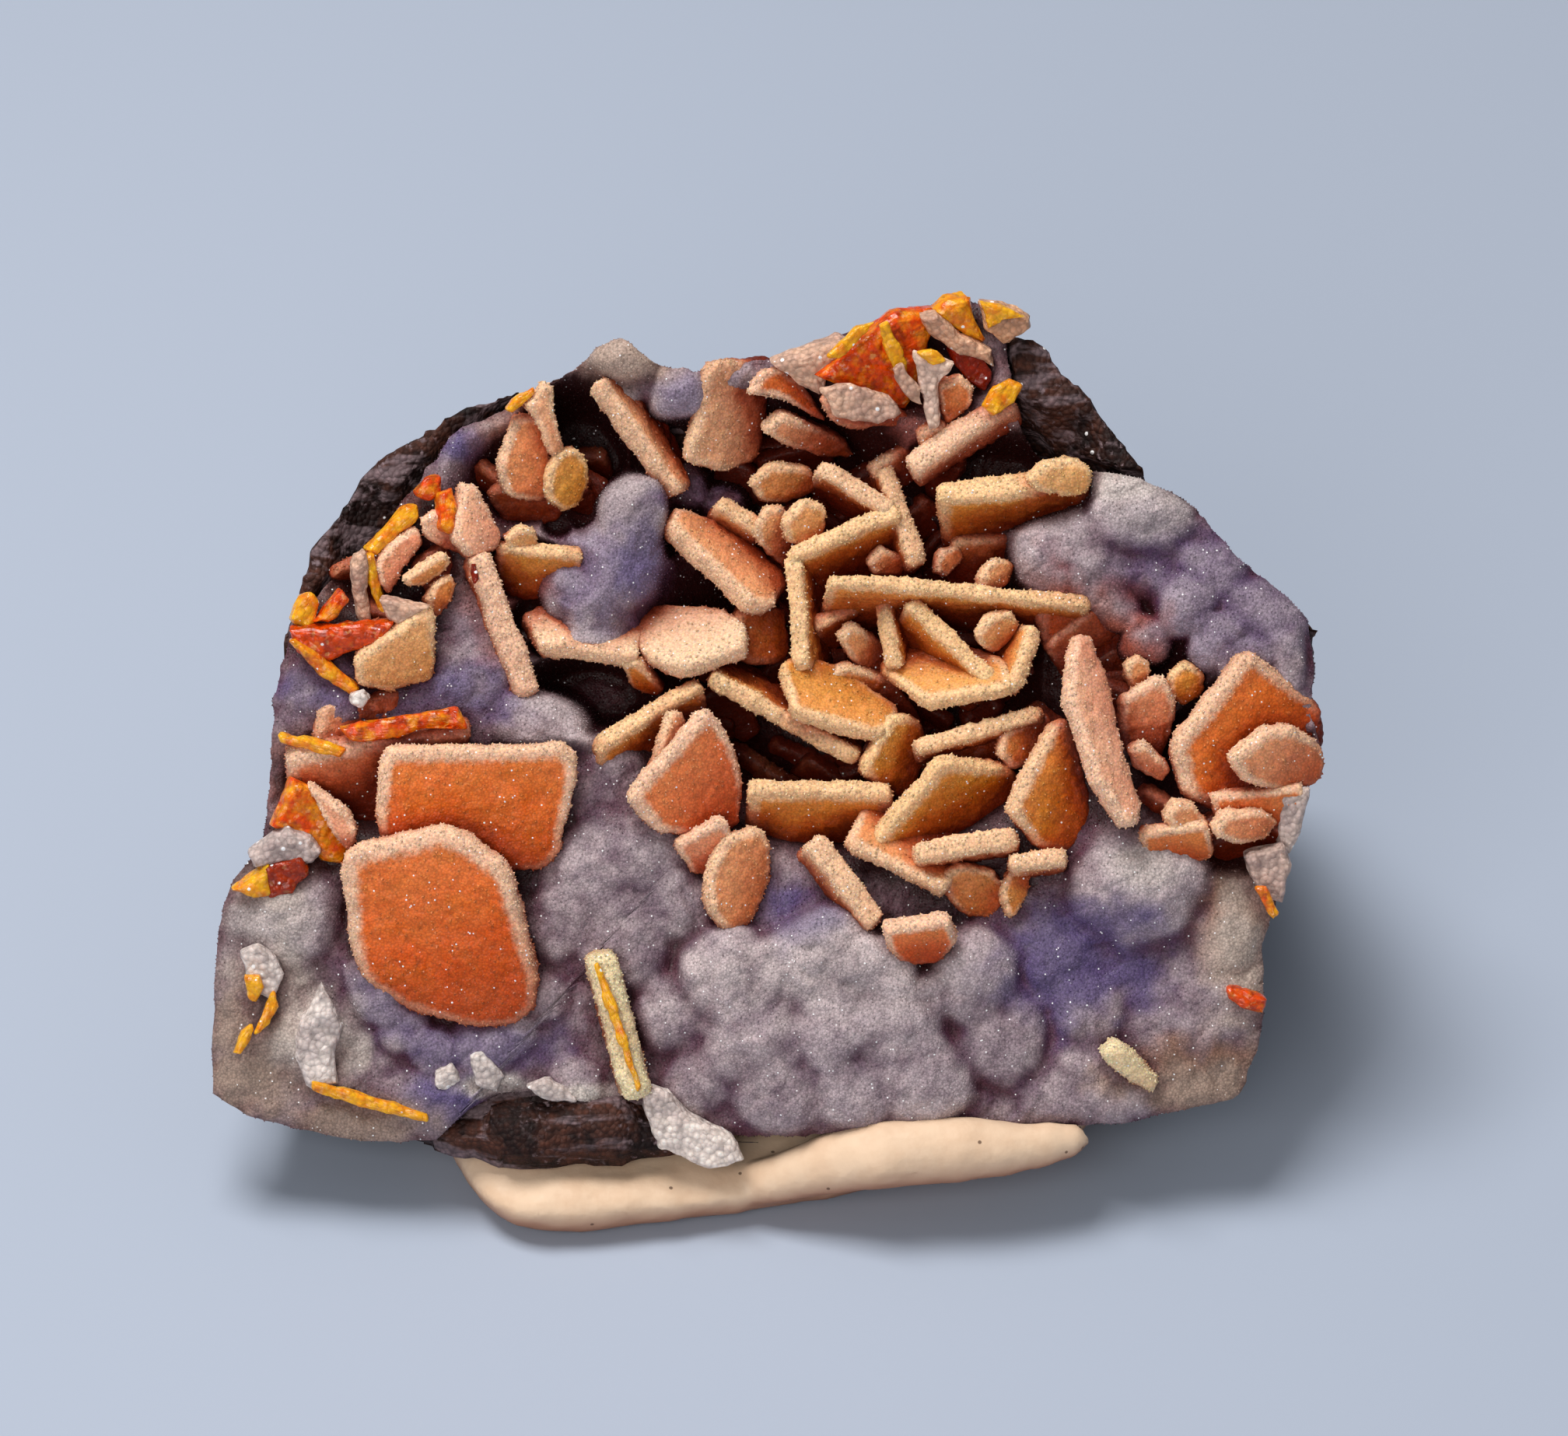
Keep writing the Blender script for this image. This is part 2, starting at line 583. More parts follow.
     Plate((1138, 598), (1186, 726), (-1.9, -1.4), 68, 1.06, 0.5, pale=0.3, reach=4.5),
     Plate((1064, 741), (1402, 773), (0.8, -0.6), 64, 0.83, 0.9, pale=0.2, reach=4.5),
     Plate((1256, 756), (1264, 728), -1.3, 30, 0.86, 0.5,
         ((1284, 715), (1302, 724), (1296, 748), (1282, 758)), 0.6),
     Plate((1040, 802), (1122, 762), -1.6, 60, 0.86, 0.7, pale=0.1, reach=3.0),
     Plate((1148, 862), (1130, 770), (-0.8, -0.9), 66, 0.92, 0.9, pale=0.1, reach=3.6),
     Plate((1172, 768), (1282, 878), (-0.2, 0.4), 62, 1.06, 0.95, pale=0.1, reach=4.2),
     Plate((1306, 888), (1190, 908), (0.9, 0.6), 46, 0.86, 0.9,
         ((1132, 864), (1146, 838), (1250, 836), (1296, 852)), 0.35),
     Plate((1338, 804), (1306, 890), (-0.3, 0.8), 62, 0.92, 0.8, pale=0.3, reach=4.0),
     Plate((1250, 812), (1272, 788), -0.2, 35, 0.79, 0.6,
         ((1300, 784), (1308, 800), (1296, 822), (1276, 836), (1258, 830)), 0.5),
     Plate((1130, 952), (1018, 922), (-0.2, 0.6), 38, 0.99, 0.8,
         ((1001, 858), (1024, 843), (1090, 866), (1152, 910), (1154, 932)), 0.25),
     Plate((1102, 978), (910, 872), (-0.4, -0.2), 72, 1.06, 0.8, pale=0.25, reach=4.4),
     Plate((1102, 988), (1142, 918), (-0.4, -0.6), 32, 0.99, 0.95,
         ((1178, 920), (1198, 962), (1158, 1026), (1126, 1016)), 0.1),
     Plate((1176, 958), (1344, 912), (0.6, 0.0), 72, 0.92, 0.7, pale=0.35, reach=4.4),
     Plate((1216, 966), (1240, 942), -0.9, 25, 0.79, 0.95, ((1292, 932), (1288, 978), (1250, 984))),
     Plate((1280, 970), (1286, 940), -0.3, 20, 0.86, 0.45,
         ((1346, 916), (1354, 940), (1332, 978), (1300, 990)), 0.15),
     Plate((1004, 668), (1030, 640), -1.3, 25, 0.92, 0.7,
         ((1062, 650), (1056, 686), (1034, 702), (1010, 696)), 0.5),
     Plate((968, 674), (986, 651), -2.2, 25, 0.86, 0.5,
         ((1006, 650), (1024, 690), (1012, 734), (992, 718), (970, 696)), 0.45),
     Plate((1074, 818), (1094, 799), -1.2, 35, 0.79, 0.5,
         ((1130, 820), (1152, 852), (1122, 874), (1096, 852)), 0.5),
     Plate((1112, 722), (1130, 700), -2.0, 25, 0.79, 0.3,
         ((1162, 716), (1160, 738), (1120, 740)), 0.4),
     Plate((1198, 738), (1206, 708), -2.4, 25, 0.79, 0.2,
         ((1230, 699), (1238, 714), (1218, 742)), 0.3),
     Plate((960, 616), (990, 592), -2.8, 25, 0.92, 0.6,
         ((1040, 600), (1052, 626), (1010, 644), (975, 644)), 0.3),
     Plate((1060, 866), (1086, 850), -1.6, 25, 0.92, 0.5,
         ((1150, 870), (1190, 930), (1150, 930), (1090, 900)), 0.1)),
    # The right upper plates
    ("crossed_bar",
     Plate((1164, 596), (1302, 512), (-0.7, -0.9), 66, 1.35, 0.1, pale=0.9, reach=2.4),
     Plate((1178, 552), (1212, 538), -1.4, 30, 1.06, 0.2,
         ((1226, 560), (1208, 594), (1182, 594)), 0.5),
     glassy((1262, 522), (1272, 500), (-0.1, -0.2), 15, 0.9, 0.75,
         ((1300, 485), (1313, 496), (1302, 520), (1276, 536)))),
    ("shelf_square",
     Plate((1205, 632), (1398, 602), (-0.4, -0.6), 56, 1.37, 0.95, pale=0.05, reach=6.4),
     Plate((1316, 612), (1340, 592), 0.2, 20, 1.14, 0.9,
         ((1380, 587), (1404, 604), (1398, 630), (1380, 638), (1330, 630)), 0.7)),
    ("orange_cap",
     glassy((1046, 482), (1144, 399), (-0.9, -1.2), 25, 1.9, 0.1,
         ((1204, 391), (1190, 440), (1172, 500), (1160, 526), (1130, 522), (1090, 500))),
     glassy((1064, 458), (1100, 420), (0.2, 0.0), 20, 0.5, 0.9,
         ((1124, 412), (1110, 432), (1080, 462))),
     quartz((1052, 500), (1090, 492), (0.4, 0.3), 20, 0.6, 0.6,
         ((1148, 512), (1160, 530), (1130, 544), (1072, 534)), 0.5),
     glassy((1128, 420), (1142, 412), 0.3, 20, 0.45, 1.0,
         ((1160, 452), (1170, 492), (1160, 496), (1138, 450))),
     quartz((1146, 474), (1160, 466), 0.4, 20, 0.5, 0.7,
         ((1182, 500), (1186, 524), (1160, 504)), 0.6),
     glassy((1198, 398), (1214, 384), -1.0, 25, 1.5, 0.6,
         ((1242, 377), (1256, 420), (1270, 442), (1240, 430), (1214, 414))),
     quartz((1180, 404), (1206, 400), -0.6, 25, 1.2, 0.7,
         ((1234, 428), (1272, 446), (1278, 470), (1232, 454), (1196, 430)), 0.3),
     quartz((1174, 450), (1228, 466), 0.0, 15, 0.9, 0.5,
         ((1208, 492), (1208, 546), (1194, 552)), 0.9),
     glassy((1178, 452), (1200, 449), 0.4, 15, 0.6, 0.9, ((1218, 463), (1196, 470))),
     Plate((1202, 494), (1232, 479), -1.0, 20, 0.91, 0.3,
         ((1251, 498), (1246, 522), (1216, 544), (1206, 522)), 0.2),
     glassy((1216, 450), (1226, 436), -1.3, 15, 0.8, -0.9,
         ((1264, 456), (1276, 482), (1266, 502), (1240, 488)))),
    ("straw_wedge",
     quartz((1256, 386), (1290, 390), (-1.0, -1.2), 25, 1.4, 0.9,
         ((1324, 406), (1326, 418), (1290, 440), (1266, 420)), 0.3),
     glassy((1260, 388), (1300, 396), (-0.4, -0.6), 20, 0.6, 1.0,
         ((1320, 408), (1290, 408), (1272, 424)))),
    ("lower_lip",
     Plate((1054, 512), (1080, 496), -0.8, 28, 1.22, 0.1,
         ((1120, 504), (1166, 530), (1166, 546), (1124, 544), (1092, 552), (1064, 538)), 0.75)),
    # The row of squares under the nest
    ("square_row",
     Plate((958, 1004), (1146, 1010), (0.8, 0.2), 40, 1.06, 0.8,
         ((1148, 1044), (1112, 1084), (1060, 1132), (1000, 1132), (958, 1058)), 0.05),
     Plate((1116, 1080), (1206, 973), (0.6, 1.6), 40, 1.12, 0.95,
         ((1300, 980), (1314, 1000), (1298, 1054), (1200, 1092), (1150, 1100)), 0.05)),
    ("bright_blade",
     Plate((1292, 1038), (1346, 934), (1.6, 1.2), 26, 1.22, 0.5,
         ((1368, 922), (1390, 990), (1404, 1050), (1374, 1096), (1330, 1090)), 0.05)),
    ("oval_tab",
     Plate((905, 1124), (930, 1072), (1.6, 1.4), 28, 1.14, 0.3,
         ((974, 1061), (987, 1084), (985, 1136), (962, 1186), (930, 1198), (910, 1172)), 0.45)),
    ("slanting_bar",
     Plate((1046, 1078), (1132, 1186), (1.8, 2.0), 72, 1.44, 0.3, pale=0.6, reach=4.0)),
    ("square_row",
     Plate((1214, 1152), (1084, 1086), (1.4, 1.2), 40, 0.92, 0.4, pale=0.4, reach=4.0),
     Plate((1174, 1094), (1312, 1074), (2.2, 2.0), 78, 1.25, 0.5, pale=0.7, reach=4.0),
     Plate((1298, 1108), (1374, 1100), (2.2, 2.0), 78, 1.06, 0.4, pale=0.6, reach=3.6),
     Plate((1210, 1120), (1236, 1107), 0.9, 22, 0.86, 0.6,
         ((1276, 1115), (1294, 1140), (1278, 1176), (1240, 1178), (1216, 1152)), 0.3),
     Plate((1284, 1150), (1294, 1118), 0.7, 22, 0.79, 0.6,
         ((1324, 1112), (1320, 1150), (1298, 1184)), 0.25)),
    ("brick_tab",
     Plate((1134, 1188), (1220, 1174), 3.1, 40, 1.2, 0.0,
         ((1230, 1204), (1206, 1232), (1160, 1232), (1140, 1212)), 0.1, corner=0.3)),
    # The right side
    ("bright_blade",
     Plate((1404, 1006), (1369, 905), (3.4, 3.0), 34, 1.2, 0.0,
         ((1371, 848), (1381, 816), (1398, 820), (1422, 888), (1438, 965), (1464, 1035),
          (1458, 1060), (1444, 1064)), 0.9, corner=0.3),
     Plate((1438, 894), (1494, 866), (0.4, 0.2), 20, 0.99, 0.05,
         ((1512, 900), (1503, 950), (1482, 984), (1446, 966), (1436, 920)), 0.4),
     Plate((1446, 960), (1470, 950), 1.3, 25, 0.91, 0.1,
         ((1504, 984), (1494, 1004), (1456, 984)), 0.5),
     Plate((1328, 778), (1400, 762), (-1.4, -1.8), 20, 0.99, 0.0,
         ((1468, 790), (1476, 850), (1430, 886), (1370, 874), (1338, 832)), 0.05),
     Plate((1444, 856), (1462, 838), -0.5, 20, 0.91, 0.5,
         ((1479, 852), (1472, 880), (1450, 886)), 0.5),
     Plate((1500, 866), (1522, 849), -0.5, 18, 0.91, 0.9,
         ((1547, 862), (1544, 890), (1522, 908), (1500, 892)), 0.1),
     Plate((1402, 664), (1420, 645), -1.0, 20, 1.06, 0.4,
         ((1447, 652), (1458, 676), (1442, 698), (1410, 690)), 0.5)),
    ("orange_square",
     Plate((1502, 954), (1592, 838), (1.2, 0.8), 20, 1.37, 0.12,
         ((1608, 834), (1692, 902), (1698, 944), (1688, 1004), (1610, 1062), (1520, 1026))),
     Plate((1574, 974), (1622, 935), (2.3, 1.9), 30, 1.29, 0.15,
         ((1656, 931), (1692, 950), (1702, 972), (1690, 1004), (1640, 1016), (1598, 1004)), 0.45),
     Plate((1554, 1018), (1676, 1004), (0.9, 0.7), 25, 1.06, 0.1,
         ((1676, 1040), (1640, 1062), (1560, 1054)), 0.1),
     Plate((1494, 1046), (1508, 1026), 1.6, 25, 1.14, 0.3,
         ((1532, 1030), (1557, 1062), (1554, 1094), (1522, 1090), (1502, 1066)), 0.5),
     Plate((1556, 1062), (1570, 1043), 1.7, 25, 1.22, 0.2,
         ((1620, 1038), (1643, 1054), (1622, 1078), (1588, 1084), (1562, 1074)), 0.45)),
    ("quartz_shard",
     quartz((1642, 1014), (1684, 1010), (0.5, 0.4), 15, 1.2, 0.1,
         ((1674, 1060), (1658, 1096), (1642, 1092)), 0.5),
     quartz((1600, 1096), (1650, 1082), 0.6, 15, 1.2, 0.2,
         ((1660, 1112), (1648, 1160), (1620, 1150), (1602, 1116)), 0.3),
     glassy((1613, 1140), (1628, 1138), 1.3, 15, 0.7, 0.4,
         ((1645, 1172), (1636, 1182), (1622, 1162)))),
    # The lower field
    ("cored_bar",
     Plate((772, 1226), (824, 1412), (2.4, 2.0), 84, 1.7, 0.8, pale=2.0, reach=3.6),
     glassy((764, 1240), (769, 1238), 2.7, 4, 0.45, 0.9,
         ((798, 1310), (825, 1396), (820, 1404), (791, 1330)))),
    ("rim_shard",
     glassy((1576, 1270), (1600, 1268), 0.7, 15, 1.1, 0.0,
         ((1628, 1282), (1624, 1302), (1598, 1294), (1580, 1284)))),
    ("corner_bud",
     Plate((1412, 1348), (1432, 1334), 1.4, 20, 1.4, 0.9,
         ((1456, 1348), (1488, 1384), (1482, 1402), (1450, 1388), (1420, 1366)), 1.8)),
    ("cored_bar",
     quartz((824, 1396), (856, 1398), 1.0, 15, 1.3, 0.1,
         ((884, 1430), (948, 1462), (958, 1490), (904, 1500), (850, 1474), (830, 1430)), 1.2),
     quartz((604, 1356), (622, 1346), 0.7, 15, 1, 0.0,
         ((650, 1380), (640, 1402), (612, 1396)), 0.9),
     quartz((676, 1396), (704, 1384), (0.7, 0.8), 15, 0.8, 0.0,
         ((732, 1398), (742, 1416), (700, 1412)), 0.7),
     quartz((560, 1376), (580, 1366), 0.6, 15, 0.8, 0.0,
         ((594, 1388), (576, 1404), (558, 1396)), 0.7)),
    ("yellow_sliver",
     quartz((386, 1310), (414, 1262), (0.9, 1.1), 10, 1.3, 0.0,
         ((440, 1318), (430, 1350), (436, 1392), (396, 1400), (378, 1360)), 0.8)),
)


@dataclass(frozen=True)
class Thicket:
    """Where small plates stand deep in the hollow: node, place, half axes, number and gold."""

    node: str
    at: Pixel
    half: Pixel
    count: int
    gold: tuple[float, float]

    def plates(self, chance: random.Random, surface: Surface) -> list[Plate]:
        """Makes the plates.

        Args:
            chance: what their places and sizes are drawn from.
            surface: gives how far out the crust lies at places on the front.

        Returns:
            The plates, with their feet in the crust.
        """
        plates = []
        for _ in range(self.count):
            turn, share = chance.uniform(0.0, math.tau), math.sqrt(chance.random())
            x = self.at[0] + self.half[0] * share * math.cos(turn)
            y = self.at[1] + self.half[1] * share * math.sin(turn)
            slope, half = chance.uniform(-0.8, 0.8), chance.uniform(24.0, 56.0)
            step = (half * math.cos(slope), half * math.sin(slope))
            place = np.array([FRONT.place((x, y))])
            depth = float(surface(place[:, 0], place[:, 1])[0]) + chance.uniform(0.6, 2.0)
            plates.append(Plate(
                (x - step[0], y - step[1]), (x + step[0], y + step[1]),
                (depth, depth + chance.uniform(-0.5, 0.5)), chance.uniform(25.0, 65.0),
                chance.uniform(0.75, 1.1), chance.uniform(*self.gold),
                pale=chance.uniform(0.0, 0.5), reach=chance.uniform(2.2, 3.8),
            ))
        return plates


THICKETS = (
    Thicket("centre_nest", (1110, 850), (230, 190), 44, (0.3, 0.9)),
    Thicket("centre_nest", (1050, 660), (110, 80), 12, (0.2, 0.8)),
    Thicket("shelf_square", (1230, 700), (90, 40), 4, (0.3, 0.8)),
    Thicket("bright_blade", (1390, 870), (80, 90), 9, (0.0, 0.5)),
    Thicket("leaning_square", (980, 590), (60, 40), 4, (0.3, 0.7)),
    Thicket("orange_square", (1580, 1046), (80, 30), 7, (0.0, 0.3)),
    Thicket("crossed_bar", (1180, 570), (60, 24), 3, (0.2, 0.5)),
    Thicket("rosy_plate", (700, 600), (60, 60), 7, (0.2, 0.6)),
    Thicket("cast_block", (510, 740), (60, 60), 5, (0.1, 0.6)),
)


class Wiring:
    """Adds nodes to one tree and joins them up."""

    def __init__(self, tree: bpy.types.NodeTree) -> None:
        """Takes the tree to build in."""
        self.tree = tree

    def feed(self, socket: Socket, value: Feed) -> None:
        """Joins a socket to another one, or gives it a plain value."""
        if isinstance(value, bpy.types.NodeSocket):
            self.tree.links.new(value, socket)
        else:
            socket.default_value = value

    def add(
        self, kind: str, settings: dict | None = None, *values: Feed, **inputs: Feed
    ) -> bpy.types.Node:
        """Adds a node.

        Args:
            kind: the node's type.
            settings: its own settings by name.
            values: what feeds its first inputs, in order.
            inputs: what feeds other inputs, named with underscores for spaces.

        Returns:
            The node.
        """
        node = self.tree.nodes.new(kind)
        for name, value in (settings or {}).items():
            setattr(node, name, value)
        for socket, value in zip(node.inputs, values):
            self.feed(socket, value)
        for name, value in inputs.items():
            self.feed(node.inputs[name.replace("_", " ")], value)
        return node

    def math(self, operation: str, *values: Feed, clamp: bool = False) -> Socket:
        """Adds a sum.

        Args:
            operation: which one.
            values: its inputs in order.
            clamp: keeps the result from 0 to 1.

        Returns:
            The result's socket.
        """
        settings = {"operation": operation, "use_clamp": clamp}
        return self.add("ShaderNodeMath", settings, *values).outputs[0]

    def times(self, first: Feed, second: Feed, clamp: bool = False) -> Socket:
        """Multiplies two numbers."""
        return self.math("MULTIPLY", first, second, clamp=clamp)

    def plus(self, first: Feed, second: Feed, clamp: bool = False) -> Socket:
        """Adds two numbers."""
        return self.math("ADD", first, second, clamp=clamp)

    def scaled(self, value: Feed, factor: Feed, offset: Feed) -> Socket:
        """Multiplies a number by a factor and adds an offset."""
        return self.math("MULTIPLY_ADD", value, factor, offset)

    def mix(self, share: Feed, first: Feed, second: Feed, blend: str = "MIX") -> Socket:
        """Mixes two colours.

        Args:
            share: how much of the second.
            first: the first colour.
            second: the second colour.
            blend: the way they are mixed.

        Returns:
            The mixed colour's socket.
        """
        node = self.add("ShaderNodeMix", {"data_type": "RGBA", "blend_type": blend}, share)
        # The two colours share their names with a Mix node's number sockets.
        self.feed(node.inputs[6], first)
        self.feed(node.inputs[7], second)
        return node.outputs[2]

    def layers(self, colour: Feed, *coats: tuple[Feed, Feed]) -> Feed:
        """Mixes colours into one, each over the last.

        Args:
            colour: the lowest colour.
            coats: how much of each colour, and that colour.

        Returns:
            The mixed colour.
        """
        for share, coat in coats:
            colour = self.mix(share, colour, coat)
        return colour

    def span(
        self, value: Feed, low: float, high: float, ends: tuple[float, float] = (0.0, 1.0)
    ) -> Socket:
        """Maps a range smoothly on to another one.

        Args:
            value: what is mapped.
            low: where the range starts.
            high: where it ends.
            ends: what the two become.

        Returns:
            The mapped value's socket.
        """
        settings = {"interpolation_type": "SMOOTHSTEP"}
        return self.add("ShaderNodeMapRange", settings, value, low, high, *ends).outputs[0]

    def attribute(self, name: str) -> Socket:
        """Reads one of the mesh's own numbers."""
        return self.add("ShaderNodeAttribute", {"attribute_name": name}).outputs["Fac"]

    def millimetres(self) -> Socket:
        """The place on the object, in millimetres."""
        place = self.add("ShaderNodeTexCoord").outputs["Object"]
        scaled = self.add("ShaderNodeVectorMath", {"operation": "SCALE"}, place, Scale=1.0 / MM)
        return scaled.outputs[0]

    def clouds(self, size: float, detail: float = 3.0, seed: float = 0.0) -> Socket:
        """Soft noise from 0 to 1.

        Args:
            size: the width of its swells in mm.
            detail: how many finer layers.
            seed: shifts the pattern.

        Returns:
            The noise's socket.
        """
        shift = (seed, seed * 1.7, seed * 0.6)
        place = self.add(
            "ShaderNodeVectorMath", {"operation": "ADD"}, self.millimetres(), shift
        ).outputs[0]
        noise = self.add("ShaderNodeTexNoise", Vector=place, Scale=1.0 / size, Detail=detail)
        return noise.outputs["Fac"]


def new_group(name: str, inputs: dict[str, float | tuple], outputs: dict[str, str]) -> Wiring:
    """Starts a shader node group.

    Args:
        name: the group's name.
        inputs: its inputs and their values; a tuple makes a colour socket.
        outputs: its outputs and their socket types.

    Returns:
        The wiring of the group's tree.
    """
    tree = bpy.data.node_groups.new(name, "ShaderNodeTree")
    for title, value in inputs.items():
        kind = "NodeSocketColor" if isinstance(value, tuple) else "NodeSocketFloat"
        socket = tree.interface.new_socket(name=title, in_out="INPUT", socket_type=kind)
        socket.default_value = value
    for title, kind in outputs.items():
        tree.interface.new_socket(name=title, in_out="OUTPUT", socket_type=kind)
    return Wiring(tree)


def sugar_group() -> bpy.types.NodeTree:
    """Fine sugary quartz: speckled grains with dark pits between them and a few white sparkles.

    Returns:
        The group, which puts out a colour, a roughness and a height.
    """
    wiring = new_group(
        "sugar_grains",
        {
            "Colour": (0.8, 0.8, 0.8, 1.0), "Grain": 0.16, "Speckle": 0.5, "Pit": 0.4,
            "Sparkle": 0.02,
        },
        {"Colour": "NodeSocketColor", "Roughness": "NodeSocketFloat", "Height": "NodeSocketFloat"},
    )
    given = wiring.add("NodeGroupInput").outputs
    scale = wiring.math("DIVIDE", 1.0, given["Grain"])
    cells = wiring.add("ShaderNodeTexVoronoi", Vector=wiring.millimetres(), Scale=scale)
    chance = wiring.add("ShaderNodeSeparateColor", Color=cells.outputs["Color"]).outputs
    distance = cells.outputs["Distance"]
    bright = wiring.scaled(wiring.math("SUBTRACT", chance[0], 0.5), given["Speckle"], 1.0)
    pit = wiring.times(wiring.span(distance, 0.3, 0.75), given["Pit"])
    bright = wiring.times(bright, wiring.math("SUBTRACT", 1.0, pit))
    grey = wiring.add("ShaderNodeCombineColor", Red=bright, Green=bright, Blue=bright)
    colour = wiring.mix(1.0, given["Colour"], grey.outputs[0], "MULTIPLY")
    threshold = wiring.math("SUBTRACT", 1.0, given["Sparkle"])
    lucky = wiring.math("GREATER_THAN", chance[1], threshold)
    spot = wiring.times(lucky, wiring.span(distance, 0.42, 0.3))
    rough = wiring.times(wiring.scaled(chance[2], 0.3, 0.35), wiring.scaled(spot, -0.7, 1.0))
    wiring.add(
        "NodeGroupOutput", Colour=wiring.mix(spot, colour, (1.0, 1.0, 1.0, 1.0)), Roughness=rough,
        Height=wiring.math("SUBTRACT", 1.0, distance),
    )
    return wiring.tree


def mottle_group() -> bpy.types.NodeTree:
    """Cloudy patches at two sizes that shift a colour towards another.

    Returns:
        The group, which puts out a colour.
    """
    wiring = new_group(
        "cloudy_mottle",
        {"Colour": (0.5, 0.5, 0.5, 1.0), "Other": (0.2, 0.2, 0.2, 1.0), "Amount": 0.5},
        {"Colour": "NodeSocketColor"},
    )
    given = wiring.add("NodeGroupInput").outputs
    wide = wiring.clouds(2.6, 4.0, 3.0)
    fine = wiring.clouds(0.7, 3.0, 11.0)
    both = wiring.plus(wiring.times(wide, 0.65), wiring.times(fine, 0.35))
    mask = wiring.times(wiring.span(both, 0.4, 0.62), given["Amount"])
    wiring.add("NodeGroupOutput", Colour=wiring.mix(mask, given["Colour"], given["Other"]))
    return wiring.tree


class Effects:
    """The shader node groups that several finishes share."""

    def __init__(self) -> None:
        """Builds each group once."""
        self.sugar = sugar_group()
        self.mottle = mottle_group()


class Paint(Wiring):
    """A material while it is made, with the groups that the finishes share."""

    def __init__(self, name: str, effects: Effects) -> None:
        """Starts the material.

        Args:
            name: its name.
            effects: the shared groups.
        """
        self.material = bpy.data.materials.new(name)
        self.material.use_nodes = True
        super().__init__(self.material.node_tree)
        self.effects = effects
        self.shader = self.tree.nodes["Principled BSDF"]
        self.shader.inputs["Specular IOR Level"].default_value = 0.25

    def mottle(self, colour: Feed, other: Feed, amount: float) -> Socket:
        """A colour with cloudy patches of another one.

        Args:
            colour: the colour.
            other: the patches' colour.
            amount: how strong they are.

        Returns:
            The mottled colour's socket.
        """
        group = {"node_tree": self.effects.mottle}
        node = self.add("ShaderNodeGroup", group, Colour=colour, Other=other, Amount=amount)
        return node.outputs["Colour"]

    def sugar(
        self, colour: Feed, grain: float, speckle: Feed, pit: float, sparkle: float
    ) -> tuple[Socket, Socket]:
        """Gives the shader a colour with sugary grains.

        Args:
            colour: the colour.
            grain: the grains' size in mm.
            speckle: how much their brightness varies.
            pit: how dark it is between them.
            sparkle: the share of them that sparkle.

        Returns:
            The grains' roughness and height.
        """
        node = self.add(
            "ShaderNodeGroup", {"node_tree": self.effects.sugar},
            Colour=colour, Grain=grain, Speckle=speckle, Pit=pit, Sparkle=sparkle,
        )
        self.feed(self.shader.inputs["Base Color"], node.outputs["Colour"])
        return node.outputs["Roughness"], node.outputs["Height"]

    def relief(self, rough: Socket, height: Socket, strength: float, depth: float) -> None:
        """Gives the shader its roughness and its fine relief.

        Args:
            rough: the roughness.
            height: the relief's height, 0 to 1.
            strength: how strong it is.
            depth: the height of 1, in mm.
        """
        self.feed(self.shader.inputs["Roughness"], rough)
        bump = self.add("ShaderNodeBump", Height=height, Strength=strength, Distance=depth * MM)
        self.feed(self.shader.inputs["Normal"], bump.outputs["Normal"])

    def soften(self, share: float, reach: float, colours: tuple[float, float, float]) -> None:
        """Lets light travel a little way under the surface.

        Args:
            share: how much of the light does.
            reach: how far it travels, in mm.
            colours: how far each colour travels, as shares of that.
        """
        self.shader.inputs["Subsurface Weight"].default_value = share
        self.shader.inputs["Subsurface Scale"].default_value = reach * MM
        self.shader.inputs["Subsurface Radius"].default_value = colours


class Finish:
    """A procedural material, with its name and its colours as fields."""

    name: str

    def build(self, effects: Effects) -> bpy.types.Material:
        """Makes the material.

        Args:
            effects: the shared groups.

        Returns:
            The material.
        """
        paint = Paint(self.name, effects)
        self.dress(paint)
        return paint.material

    def dress(self, paint: Paint) -> None:
        """Builds the material's nodes, in each finish in its own way."""
        raise NotImplementedError


